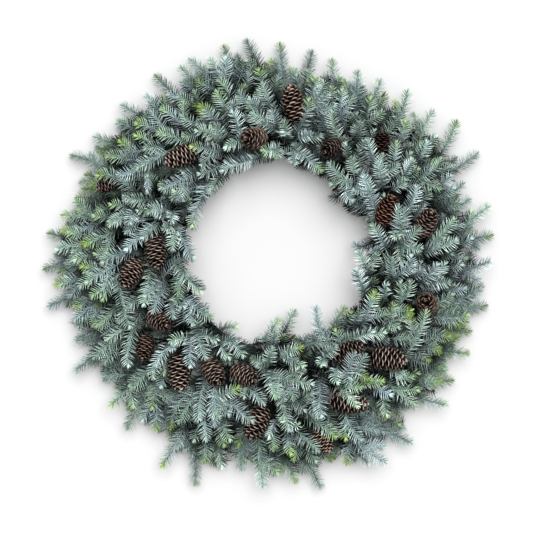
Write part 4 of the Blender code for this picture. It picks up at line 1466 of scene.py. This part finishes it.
@dataclass
class FoliageMaker:
    """Grows side shoots and dresses twigs and shoots with stems and needles.

    Undergrowth is shoots without a bud, which fill the spaces under the twigs, where painted
    shade darkens them. A growth is painted darker by those over it, a painted shade, the more the
    nearer they pass and the higher they lie, up to the cover's reach and depths; lower growths
    are painted darker too. Spans of numbers are the least and the most of what is drawn anew
    each time.
    """

    plan: WreathPlan
    needles: NeedleMaker = field(default_factory=NeedleMaker)
    stems: StemMaker = field(default_factory=StemMaker)
    variants: int = 3
    dense_length: float = 82.0
    first_needle: float = 12.0
    overshoot: float = 4.0
    roll: float = 14.0
    fresh_reach: float = 24.0
    fresh_radius: float = 38.0
    fresh_boost: float = 1.5
    fresh_end: float = 1.1
    faint_growth: tuple[tuple[float, float], ...] = (
        (140.0, 0.8), (180.0, 0.5), (250.0, 0.45), (340.0, 1.0))
    path_steps: int = 61
    twig_rod: tuple[int, int] = (6, 12)
    shoot_rod: tuple[int, int] = (4, 5)
    twig_sizes: tuple[float, float] = (0.92, 1.06)
    shoot_sizes: tuple[float, float] = (0.88, 1.0)
    first_scatter: tuple[float, float] = (0.9, 1.1)
    spacing_scatter: tuple[float, float] = (0.8, 1.2)
    tint_scatter: float = 0.2
    shade_scatter: float = 0.15
    shoot_steps: int = 16
    shoot_angle: float = 42.0
    shoot_angle_scatter: float = 6.0
    shoot_bends: tuple[float, float] = (0.16, -0.2)
    shoot_lifts: tuple[float, float] = (0.6, 0.4)
    shoot_scatter: tuple[float, float] = (0.85, 1.12)
    shoot_short_of_tip: float = 8.0
    shoot_radius: float = 1.1
    shoot_berth: float = 1.0
    shortest_shoot: float = 38.0
    habits: dict[str, ShootHabit] = field(default_factory=lambda: {
        "outer": ShootHabit(50.0, 26.0, 60.0, (-9.0, 4.0)),
        "middle": ShootHabit(52.0, 27.0, 62.0, (-12.0, 8.0)),
        "inner": ShootHabit(46.0, 26.0, 56.0, (-16.0, 2.0)),
    })
    undergrowth: ShootHabit = ShootHabit(0.0, 0.0, 92.0, (-16.0, -6.0))
    under_starts: dict[str, tuple[float, ...]] = field(default_factory=lambda: {
        "outer": (0.16, 0.34, 0.52, 0.66), "middle": (0.16, 0.34, 0.52), "inner": (0.15, 0.45)})
    under_size: float = 1.25
    shoot_shares: tuple[float, ...] = (1.0, 0.75, 0.55)
    inner_berth: float = 13.0
    outer_berth: float = 10.0
    cover_reach: float = 26.0
    cover_depths: tuple[float, float] = (5.0, 18.0)
    half_cover: float = 2.0
    cover_onset: float = 2.6
    cover_batch: int = 400  # Samples worked on at a time, to save memory
    # Painted shade by height: lower growths are painted darker.
    unshaded_by_height: tuple[tuple[float, float], ...] = ((12.0, 0.6), (28.0, 0.88), (45.0, 1.0))
    seed: int = 11

    def __post_init__(self) -> None:
        """Make the clumps."""
        self.rng = np.random.default_rng(self.seed)
        rows, sparse_rows = self.needles.rows, self.needles.sparse_rows
        kinds = range(self.variants)
        self.tips = [self.needles.tip(f"tip_{kind}", self.rng) for kind in kinds]
        self.dense = [self.needles.stretch(f"dense_{kind}", rows, self.rng) for kind in kinds]
        self.sparse = [self.needles.stretch(f"sparse_{kind}", sparse_rows, self.rng)
                       for kind in kinds]
        self.rods = {
            rank: self.stems.rod(f"{rank.value}_stem", *cuts, FOLIAGE_TRAITS)
            for rank, cuts in ((Rank.TWIG, self.twig_rod), (Rank.SHOOT, self.shoot_rod),
                               (Rank.UNDERGROWTH, self.shoot_rod))}

    def path_of(self, twig: Twig) -> Path:
        """A twig's path, from its foot on the ring or from its joint on its leader.

        Args:
            twig: The twig.

        Returns:
            The path.
        """
        places = curve_weights(np.linspace(0.0, 1.0, self.path_steps)) @ twig.points
        if twig.parent is None:
            way = self.plan.foot_way(twig.points[0], twig.points[1])
            first = twig.points[0] - way * self.plan.foot_length
        else:
            first = curve_weights(twig.joint) @ twig.parent.points
        apart = np.linalg.norm(first - twig.points[0]) > self.stems.tip_radius
        return Path(np.vstack([first, places]) if apart else places)

    def freshness(self, tip: np.ndarray) -> float:
        """How yellow-green a twig is that ends at a place.

        Args:
            tip: Where it ends.

        Returns:
            From 0, not at all, to 1.
        """
        nearest = max(
            strength * max(0.0, 1.0 - np.linalg.norm(tip[:2] - (x, y)) / self.fresh_radius)
            for x, y, strength in FRESH_PLACES)
        faint = np.interp(math.hypot(*tip[:2]), *zip(*self.faint_growth))
        return min(1.0, self.fresh_boost * nearest + faint * self.rng.uniform(0.0, 1.0) ** 2)

    def grow(self, twig: Twig) -> list[Growth]:
        """A twig, its side shoots and its undergrowth.

        Args:
            twig: The twig.

        Returns:
            The twig, then the rest.
        """
        path = self.path_of(twig)
        radius = self.stems.side_radius if twig.parent else self.stems.root_radius
        tint = self.rng.uniform(0.0, 1.0)
        main = Growth(path, twig.spray, Rank.TWIG, radius, tint, self.freshness(path.places[-1]),
                      self.rng.uniform(*self.twig_sizes))
        growths = [main]
        layer = twig.spray.split("_")[0]
        habit = self.habits[layer]
        side = self.rng.choice((-1.0, 1.0))
        from_tip = habit.first * self.rng.uniform(*self.first_scatter)
        while from_tip < path.total - self.first_needle / 2:
            shoot = self.shoot(path, path.total - from_tip, side, habit)
            if self.in_dense(shoot) and not self.near_cone(shoot.places):
                own_tint = tint + self.rng.uniform(-self.tint_scatter, self.tint_scatter)
                growths.append(Growth(
                    shoot, twig.spray, Rank.SHOOT, self.shoot_radius,
                    float(np.clip(own_tint, 0.0, 1.0)), self.freshness(shoot.places[-1]),
                    main.size * self.rng.uniform(*self.shoot_sizes)))
            side = -side
            from_tip += habit.spacing * self.rng.uniform(*self.spacing_scatter)
        for share in self.under_starts[layer]:
            under = self.shoot(path, path.total * share, side, self.undergrowth)
            if self.in_dense(under) and not self.near_cone(under.places):
                growths.append(Growth(under, twig.spray, Rank.UNDERGROWTH,
                                      self.shoot_radius, tint, 0.0, self.under_size))
            side = -side
        return growths

    def in_dense(self, path: Path) -> bool:
        """Whether a path ends where the foliage is dense.

        Args:
            path: The shoot's path.

        Returns:
            Whether it does.
        """
        x, y = path.places[-1][:2]
        low, high = self.plan.dense_span(math.degrees(math.atan2(y, x)))
        return low + self.inner_berth < math.hypot(x, y) < high + self.outer_berth

    def shoot(self, path: Path, start: float, side: float, habit: ShootHabit) -> Path:
        """The path of a side shoot, shortened where that keeps it in the dense foliage.

        Args:
            path: The path of the twig that it grows from.
            start: The length along it where the shoot leaves.
            side: 1 for the left, -1 for the right.
            habit: How the layer's shoots stand.

        Returns:
            The shoot's path, which bends forwards.
        """
        lengths = np.array([start])
        place = path.at(lengths, path.places)[0]
        ahead = unit(path.at(lengths, path.ahead)[0])
        left = unit(np.cross(UP, ahead)) * side
        most = path.total - start - self.shoot_short_of_tip
        length = habit.length * self.rng.uniform(*self.shoot_scatter)
        length = max(min(length, most), self.shortest_shoot)
        turn = math.radians(self.shoot_angle + self.rng.normal(0.0, self.shoot_angle_scatter))
        lift = UP * self.rng.uniform(*habit.lift)
        first, second = (
            (ahead * math.cos(turn + bend) + left * math.sin(turn + bend)) * length / 2
            + lift * part for bend, part in zip(self.shoot_bends, self.shoot_lifts))
        weights = curve_weights(np.linspace(0.0, 1.0, self.shoot_steps))
        for share in self.shoot_shares:
            bend = place + first * share
            shoot = Path(weights @ np.array([place, bend, bend + second * share]))
            if self.in_dense(shoot):
                break
        return shoot

    def near_cone(self, places: np.ndarray) -> bool:
        """Whether a shoot would pass through or over a cone.

        Args:
            places: Places along the shoot.

        Returns:
            Whether it would.
        """
        for cone in CONES:
            base, apex = cone.ends()
            run = (apex - base)[:2]
            share = np.clip((places[:, :2] - base[:2]) @ run / (run @ run), 0.0, 1.0)
            away = np.linalg.norm(places[:, :2] - base[:2] - share[:, None] * run, axis=1)
            level = (base[2] + apex[2]) / 2 - cone.width / 2
            if ((away < cone.width / 2 + self.shoot_berth) & (places[:, 2] > level)).any():
                return True
        return False

    def paint_cover_shade(self, growths: list[Growth]) -> None:
        """Work out how open to the wreath's face each growth lies, from those over it, for its
        painted shade.

        Args:
            growths: All the growths, which are given the result.
        """
        places = np.concatenate([growth.places for growth in growths]).astype(np.float32)
        owner = np.repeat(np.arange(len(growths)), [len(growth.places) for growth in growths])
        near, far = self.cover_depths
        unshaded = []
        for start in range(0, len(places), self.cover_batch):
            own = places[start:start + self.cover_batch]
            apart = np.hypot(own[:, None, 0] - places[None, :, 0],
                             own[:, None, 1] - places[None, :, 1])
            close = np.clip(1.0 - apart / self.cover_reach, 0.0, 1.0)
            over = np.clip((places[None, :, 2] - own[:, None, 2] - near) / (far - near), 0.0, 1.0)
            others = owner[start:start + self.cover_batch, None] != owner[None]
            cover = (close * over * others).sum(axis=1)
            unshaded.append(1.0 / (1.0 + (cover / self.half_cover) ** self.cover_onset))
        # Lower growths take more painted shade.
        unshaded = np.concatenate(unshaded) * np.interp(places[:, 2], *zip(*self.unshaded_by_height))
        for index, growth in enumerate(growths):
            growth.unshaded = unshaded[owner == index]

    def lay_clump(self, clump: Clump, target: bmesh.types.BMesh, growth: Growth,
                  start: float) -> None:
        """Lay a clump of needles along a growth.

        Args:
            clump: The straight needles.
            target: The mesh that takes them.
            growth: The twig or shoot.
            start: The length at which they start.
        """
        path = growth.path
        local = clump.local * np.array([growth.size, growth.size, 1.0])
        roll = math.radians(self.rng.normal(0.0, self.roll))
        from_tip = path.total - start - local[:, 2]
        young = np.clip(self.fresh_end - from_tip / self.fresh_reach, 0.0, 1.0) * growth.fresh
        shade = self.rng.uniform(-self.shade_scatter, self.shade_scatter)
        shade += clump.values[Trait.SHADE.value]
        # The needles take their growth's painted shade, times their row's own.
        unshaded = np.interp(start + local[:, 2], growth.lengths, growth.unshaded)
        clump.add_to(target, path.laid(local, start, roll), {
            Trait.SHADE: shade, Trait.FRESH: young, Trait.TINT: np.float32(growth.tint),
            Trait.UNSHADED: unshaded * clump.values[Trait.UNSHADED.value]})

    def dress(self, target: bmesh.types.BMesh, growth: Growth) -> None:
        """Give a growth its stem and needles.

        Args:
            target: The spray's mesh.
            growth: The twig or shoot.
        """
        path = growth.path
        start = path.total - self.needles.tip_needle
        self.stems.lay(self.rods[growth.rank], target, growth, start)
        if growth.rank is not Rank.UNDERGROWTH:
            start = path.total - self.needles.tip_length + self.overshoot
            self.lay_clump(self.rng.choice(self.tips), target, growth, start)
        while start - self.needles.run > self.first_needle:
            start -= self.needles.run
            near = path.total - start < self.dense_length + self.needles.run
            kinds = self.dense if near and growth.rank is not Rank.UNDERGROWTH else self.sparse
            self.lay_clump(self.rng.choice(kinds), target, growth, start)


@dataclass(frozen=True)
class ConeMaker:
    """Makes cones of one size in straight measure, with open scales in spirals.

    Profile and opening are read along the cone: its radius over the scales, as a share of the
    widest, and the scales' angle from its axis. Each of a scale's rows is its share of the way
    out, its share of the scale's width, and how pale it is on the upper side and the underside;
    the dark feet and darker upper sides are partly the wood's own and partly painted shade
    between the scales.
    Apex wear is where along the cone the scales start to be paler, and how fast. The spiral is
    where the scales start along the cone, how far they run, and the power that crowds them
    towards the apex.
    """

    length: float = 60.0
    width: float = 42.0
    scales: int = 82
    scale_width: float = 16.8
    scale_thickness: float = 1.5
    scale_scatter: tuple[float, float] = (0.92, 1.05)
    opening_scatter: float = 5.0
    least_size: float = 0.28
    least_sine: float = 0.45
    least_length: float = 6.0
    rounding: float = 0.24
    cup_across: float = 0.10
    cup_along: float = 0.12
    core_share: float = 0.34
    root_share: float = 0.6
    heart_radius: float = 0.22
    heart_half: float = 0.46
    heart_middle: float = 0.47
    heart_tip: float = 0.9
    heart_tip_paleness: float = 0.5
    spiral: tuple[float, float, float] = (0.03, 0.95, 0.86)
    turn_scatter: float = 0.06
    profile: tuple[tuple[float, float], ...] = (
        (0.0, 0.42), (0.08, 0.70), (0.20, 0.93), (0.40, 1.0), (0.60, 0.97), (0.79, 0.82),
        (0.90, 0.58), (0.96, 0.36), (1.0, 0.12))
    opening: tuple[tuple[float, float], ...] = (
        (0.0, 112.0), (0.15, 84.0), (0.45, 66.0), (0.75, 58.0), (0.90, 42.0), (1.0, -22.0))
    rows: tuple[tuple[float, float, float, float], ...] = (
        (0.0, 0.34, 0.0, 0.0), (0.78, 1.0, 0.18, 0.66), (1.0, 0.74, 0.66, 1.0))
    apex_wear: tuple[float, float] = (0.8, 0.6)

    def radius(self, share: float) -> float:
        """The cone's radius over its scales at a share of its length."""
        return float(np.interp(share, *zip(*self.profile))) * self.width / 2

    def add_scale(self, mesh: bmesh.types.BMesh, turn: float, share: float,
                  rng: np.random.Generator) -> None:
        """Add one scale: a small cupped fan with a rounded, worn rim.

        Args:
            mesh: The cone's mesh.
            turn: Its side of the cone, in radians.
            share: Where its rim lies along the cone.
            rng: Where the scatter comes from.
        """
        layers = floats_of(mesh, CONE_TRAITS)
        reach = self.radius(share)
        size = self.least_size + (1.0 - self.least_size) * reach / (self.width / 2)
        half = self.scale_width / 2 * size * rng.uniform(*self.scale_scatter)
        opening = float(np.interp(share, *zip(*self.opening)))
        open_by = math.radians(opening + rng.normal(0.0, self.opening_scatter))
        length = reach * (1.0 - self.core_share) / max(math.sin(open_by), self.least_sine)
        length = max(length, self.least_length * size)
        grid = bmesh.ops.create_grid(
            mesh, x_segments=4, y_segments=len(self.rows) - 1, size=1.0)["verts"]
        shade = rng.uniform(0.0, 1.0)
        for vert in grid:
            across = vert.co.x
            out, spread, *_ = self.rows[round((vert.co.y + 1.0) * (len(self.rows) - 1) / 2)]
            cup = self.cup_across * half * across**2 * out + self.cup_along * length * out**3
            along = length * out * (1.0 - self.rounding * across**2)
            vert.co = Vector((across * half * spread, -cup, along))
        faces = list({face for vert in grid for face in vert.link_faces})
        mesh.normal_update()
        solid = bmesh.ops.solidify(mesh, geom=faces, thickness=self.scale_thickness * size)
        added = {item for item in solid["geom"] if isinstance(item, bmesh.types.BMVert)}
        sides = sorted((set(grid), added - set(grid)), key=lambda side: sum(v.co.y for v in side))
        outs, _, *rims = zip(*self.rows)
        worn = max(share - self.apex_wear[0], 0.0) * self.apex_wear[1]
        for side, rim in zip(sides, reversed(rims)):
            for vert in side:
                vert[layers[Trait.SHADE]] = shade
                vert[layers[Trait.RIM]] = float(
                    np.interp(vert.co.z / length, outs, rim)) * (1.0 + worn)
        own = set(grid) | added
        root = share * self.length - length * math.cos(open_by)
        place = (
            Matrix.Rotation(turn, 4, "Z")
            @ Matrix.Translation((reach * self.core_share * self.root_share, 0.0, root))
            @ Matrix.Rotation(open_by, 4, "Y")
            @ Matrix.Rotation(math.pi / 2, 4, "Z")
        )
        bmesh.ops.transform(mesh, matrix=place, verts=list(own))

    def cone(self, name: str, seed: int) -> Clump:
        """A cone with its base at 0 and its apex at its length.

        Args:
            name: The clump's name.
            seed: The seed of its scatter.

        Returns:
            The cone.
        """
        rng = np.random.default_rng(seed)
        mesh = bmesh.new()
        rim = floats_of(mesh, CONE_TRAITS)[Trait.RIM]
        heart = bmesh.ops.create_uvsphere(mesh, u_segments=12, v_segments=9, radius=1.0)["verts"]
        across = self.width * self.heart_radius
        bmesh.ops.scale(
            mesh, verts=heart, vec=(across, across, self.length * self.heart_half))
        bmesh.ops.translate(mesh, verts=heart, vec=(0.0, 0.0, self.length * self.heart_middle))
        # The core is painted near black, partly dark wood and partly painted shade deep between
        # the scales; its tip is paler.
        for vert in heart:
            at_tip = vert.co.z > self.heart_tip * self.length
            vert[rim] = self.heart_tip_paleness if at_tip else 0.0
        golden = math.pi * (3.0 - math.sqrt(5.0))
        first, run, crowding = self.spiral
        for index in range(self.scales):
            share = first + run * ((index + 0.5) / self.scales) ** crowding
            turn = index * golden + rng.normal(0.0, self.turn_scatter)
            self.add_scale(mesh, turn, share, rng)
        bmesh.ops.recalc_face_normals(mesh, faces=mesh.faces)
        for face in mesh.faces:
            face.smooth = True
        return Clump(name, mesh)


@dataclass
class Placer:
    """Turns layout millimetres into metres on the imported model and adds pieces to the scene."""

    middle: np.ndarray

    def piece(self, name: str, mesh: bmesh.types.BMesh, materials: list[bpy.types.Material],
              replaces: str) -> bpy.types.Object:
        """Add a finished piece.

        Args:
            name: Its name.
            mesh: Its mesh in layout millimetres; it is freed.
            materials: Its materials, in the order of its faces' numbers.
            replaces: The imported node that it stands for.

        Returns:
            The object.
        """
        data = bpy.data.meshes.new(name)
        mesh.to_mesh(data)
        mesh.free()
        data.transform(Matrix.Translation(Vector(self.middle)) @ Matrix.Scale(MM, 4))
        for material in materials:
            data.materials.append(material)
        thing = bpy.data.objects.new(name, data)
        bpy.context.collection.objects.link(thing)
        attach(thing, "root")
        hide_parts(replaces)
        count = sum(len(polygon.vertices) - 2 for polygon in data.polygons)
        LOG.info("%s: %d triangles", name, count)
        return thing


@dataclass
class Foliage:
    """All the sprays.

    Needles bend up off the surface below from a soft height down to the lowest, and keep out of
    an oval round each cone, whose half axes are shares of its length and width.
    """

    plan: WreathPlan
    maker: FoliageMaker
    lowest: float = 1.0
    softness: float = 5.0
    cone_oval: tuple[float, float] = (0.5, 0.47)
    least_depth: float = 0.3

    def clear_of_cones(self, points: np.ndarray) -> np.ndarray:
        """Needles' points pushed out of the cones, as a cone pushes them aside.

        Args:
            points: The points, which are changed.

        Returns:
            The same points.
        """
        along_share, across_share = self.cone_oval
        for cone in CONES:
            base, apex = cone.ends()
            axis = unit(apex - base)
            middle = (base + apex) / 2
            near = np.nonzero(np.linalg.norm(points - middle, axis=1) < cone.length / 2)[0]
            away = points[near] - middle
            along = (away @ axis)[:, None] * axis
            depth = np.sqrt(
                ((away @ axis) / (cone.length * along_share)) ** 2
                + (np.linalg.norm(away - along, axis=1) / (cone.width * across_share)) ** 2)
            inside = depth < 1.0
            scale = 1.0 / np.maximum(depth[inside], self.least_depth)
            points[near[inside]] = middle + away[inside] * scale[:, None]
        return points

    def over_floor(self, points: np.ndarray) -> np.ndarray:
        """Points bent up where they would come too near the surface below.

        Args:
            points: The points, which are changed.

        Returns:
            The same points.
        """
        heights = points[:, 2]
        low = heights < self.softness
        span = self.softness - self.lowest
        points[low, 2] = self.lowest + span * np.exp((heights[low] - self.softness) / span)
        return points

    def build(self, placer: Placer, materials: list[bpy.types.Material]) -> None:
        """Build every spray.

        Args:
            placer: What adds the pieces.
            materials: The needles' and the stems' materials.
        """
        grown = self.plan.lay_out()
        Filling(self.plan).add_to(grown)
        growths = [growth for twigs in grown for twig in twigs for growth in self.maker.grow(twig)]
        self.maker.paint_cover_shade(growths)
        for twigs in grown:
            mesh = bmesh.new()
            floats_of(mesh, FOLIAGE_TRAITS)
            for growth in growths:
                if growth.spray == twigs[0].spray:
                    self.maker.dress(mesh, growth)
            points = np.array([vert.co for vert in mesh.verts])
            points = self.over_floor(self.clear_of_cones(points))
            for vert, point in zip(mesh.verts, points):
                vert.co = point
            name = twigs[0].spray
            placer.piece(f"{name}_foliage", mesh, materials, name)


@dataclass
class Pinecones:
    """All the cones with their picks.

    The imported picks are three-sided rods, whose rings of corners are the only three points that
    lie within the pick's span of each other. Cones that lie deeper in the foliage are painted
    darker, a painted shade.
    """

    maker: ConeMaker = field(default_factory=ConeMaker)
    kinds: int = 3
    pick_span: float = 2.75
    pick_radius: float = 0.9
    pick_sides: int = 8
    pick_cuts: int = 20
    smoothings: int = 3
    corner_cut: float = 0.25
    painted_shade_depth: float = 16.0
    seed: int = 5

    def pick_places(self, node: bpy.types.Object, middle: np.ndarray,
                    base: np.ndarray) -> np.ndarray:
        """The way of a cone's pick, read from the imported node's pick.

        Args:
            node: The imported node.
            middle: The ring's middle, in metres.
            base: The cone's base, in layout millimetres.

        Returns:
            Places from the cone's base to the pick's end on the ring.
        """
        corners = np.array([vert.co for vert in node.data.vertices])
        corners = np.unique(np.round((corners - middle) / MM, 3), axis=0)
        apart = np.linalg.norm(corners[:, None] - corners[None], axis=2)
        near = apart < self.pick_span
        centres = {
            tuple(np.round(corners[row].mean(axis=0), 2))
            for row in near if row.sum() == 3 and near[np.ix_(row, row)].all()}
        left = [np.array(centre) for centre in centres]
        places = [base]
        while left:
            nearest = min(left, key=lambda centre: np.linalg.norm(centre - places[-1]))
            left = [centre for centre in left if centre is not nearest]
            places.append(nearest)
        return np.array(places)

    def smoothed(self, places: np.ndarray) -> np.ndarray:
        """Places with their corners cut a few times over, and the ends kept.

        Args:
            places: Places in order.

        Returns:
            More places, with the same ends.
        """
        near, far = 1.0 - self.corner_cut, self.corner_cut
        for _ in range(self.smoothings):
            cut = np.stack([places[:-1] * near + places[1:] * far,
                            places[:-1] * far + places[1:] * near], axis=1).reshape(-1, 3)
            places = np.vstack([places[0], cut[1:-1], places[-1]])
        return places

    def build(self, placer: Placer, materials: list[bpy.types.Material]) -> None:
        """Build every cone.

        Args:
            placer: What adds the pieces.
            materials: The scales' and the picks' materials.
        """
        kinds = [self.maker.cone(f"cone_{kind}", self.seed + kind) for kind in range(self.kinds)]
        rod = StemMaker().rod("pick", self.pick_sides, self.pick_cuts, CONE_TRAITS)
        rng = np.random.default_rng(self.seed)
        for index, cone in enumerate(CONES):
            name = f"pinecone_{index + 1:02d}"
            base, apex = cone.ends()
            size = Matrix.Diagonal((
                cone.width / self.maker.width, cone.width / self.maker.width,
                cone.length / self.maker.length, 1.0))
            place = (
                Matrix.Translation(Vector(base))
                @ Vector(apex - base).to_track_quat("Z", "Y").to_matrix().to_4x4()
                @ Matrix.Rotation(rng.uniform(0.0, math.tau), 4, "Z") @ size)
            matrix = np.array(place)
            kind = kinds[index % self.kinds]
            mesh = bmesh.new()
            floats_of(mesh, CONE_TRAITS)
            # Painted shade: cones sunk deeper in the foliage are painted darker.
            shade = kind.values[Trait.SHADE.value] - cone.sunk / self.painted_shade_depth
            kind.add_to(mesh, kind.local @ matrix[:3, :3].T + matrix[:3, 3],
                        {Trait.TINT: np.float32(cone.redness), Trait.SHADE: shade})
            way = self.pick_places(frame["nodes"][name], placer.middle, base)
            path = Path(self.smoothed(way))
            thin = rod.local * np.array([self.pick_radius, self.pick_radius, path.total])
            rod.add_to(mesh, path.laid(thin, 0.0), {})
            placer.piece(f"{name}_scales", mesh, materials, name)


@dataclass(frozen=True)
class RingFrame:
    """The wire ring that carries everything."""

    radius: float = RING_RADIUS
    wire_radius: float = 2.9
    height: float = 3.12
    sides: int = 12
    steps: int = 120

    def build(self, placer: Placer, material: bpy.types.Material) -> None:
        """Build the ring.

        Args:
            placer: What adds the piece.
            material: The wire's material.
        """
        mesh = bmesh.new()
        section = bmesh.ops.create_circle(mesh, segments=self.sides, radius=self.wire_radius)
        bmesh.ops.rotate(mesh, verts=section["verts"], cent=(0.0, 0.0, 0.0),
                         matrix=Matrix.Rotation(math.pi / 2, 3, "X"))
        bmesh.ops.translate(mesh, verts=section["verts"], vec=(self.radius, 0.0, self.height))
        bmesh.ops.spin(mesh, geom=mesh.edges[:], cent=(0.0, 0.0, 0.0), axis=(0.0, 0.0, 1.0),
                       angle=math.tau, steps=self.steps, use_merge=True)
        bmesh.ops.recalc_face_normals(mesh, faces=mesh.faces)
        for face in mesh.faces:
            face.smooth = True
        placer.piece("ring_wire", mesh, [material], "ring_frame")


@dataclass(frozen=True)
class Studio:
    """The floor, the light, the plain white surroundings and the camera above.

    Lengths are in metres. The camera aims at the middle of the photo, which is a little off the
    wreath's own, and its view is as wide as the photo at the view level.
    """

    floor_size: float = 14.0
    camera_height: float = 3.6
    aim: tuple[float, float] = (0.0025, -0.0101)
    view_width: float = 0.9104
    view_level: float = 0.025
    sensor: float = 36.0
    key_place: tuple[float, float, float] = (0.3, 1.0, 2.5)
    key_spread: float = 60.0
    key: float = 1.92
    sky: float = 0.345

    def build(self) -> None:
        """Set up the studio, with the photo's strong contrast."""
        mesh = bmesh.new()
        bmesh.ops.create_grid(mesh, x_segments=1, y_segments=1, size=self.floor_size / 2)
        data = bpy.data.meshes.new("floor")
        mesh.to_mesh(data)
        mesh.free()
        data.materials.append(StudioFloor().build())
        floor = bpy.data.objects.new("floor", data)
        bpy.context.collection.objects.link(floor)
        self.add_light()
        world = bpy.data.worlds.new("studio")
        world.use_nodes = True
        world.node_tree.nodes["Background"].inputs["Color"].default_value = linear("#FFFFFF")
        world.node_tree.nodes["Background"].inputs["Strength"].default_value = self.sky
        bpy.context.scene.world = world
        bpy.context.scene.view_settings.view_transform = "Standard"
        bpy.context.scene.view_settings.look = "High Contrast"
        self.add_camera()

    def add_light(self) -> None:
        """Add the key light: a wide soft one from above the top, even over the whole floor."""
        lamp = bpy.data.lights.new("key_light", "SUN")
        lamp.angle = math.radians(self.key_spread)
        lamp.energy = self.key
        light = bpy.data.objects.new("key_light", lamp)
        light.location = self.key_place
        light.rotation_euler = (-Vector(self.key_place)).to_track_quat("-Z", "Y").to_euler()
        bpy.context.collection.objects.link(light)

    def add_camera(self) -> None:
        """Add the camera, straight above and looking down."""
        lens = bpy.data.cameras.new("camera")
        lens.sensor_width = self.sensor
        lens.lens = self.sensor * (self.camera_height - self.view_level) / self.view_width
        camera = bpy.data.objects.new("camera", lens)
        camera.location = (*self.aim, self.camera_height)
        bpy.context.collection.objects.link(camera)
        bpy.context.scene.camera = camera


def main() -> None:
    """Build the wreath's pieces and the studio round them."""
    logging.basicConfig(level=logging.INFO, format="%(name)s %(message)s")
    low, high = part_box("ring_frame")
    placer = Placer(np.array([(low.x + high.x) / 2, (low.y + high.y) / 2, 0.0]))
    wire = CoatedWire().build()
    plan = WreathPlan()
    Foliage(plan, FoliageMaker(plan)).build(
        placer, [FrostedNeedles().build(), TwigStem().build()])
    Pinecones().build(placer, [DryConeScales().build(), wire])
    RingFrame().build(placer, wire)
    Studio().build()
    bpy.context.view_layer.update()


if __name__ == "__main__":
    main()
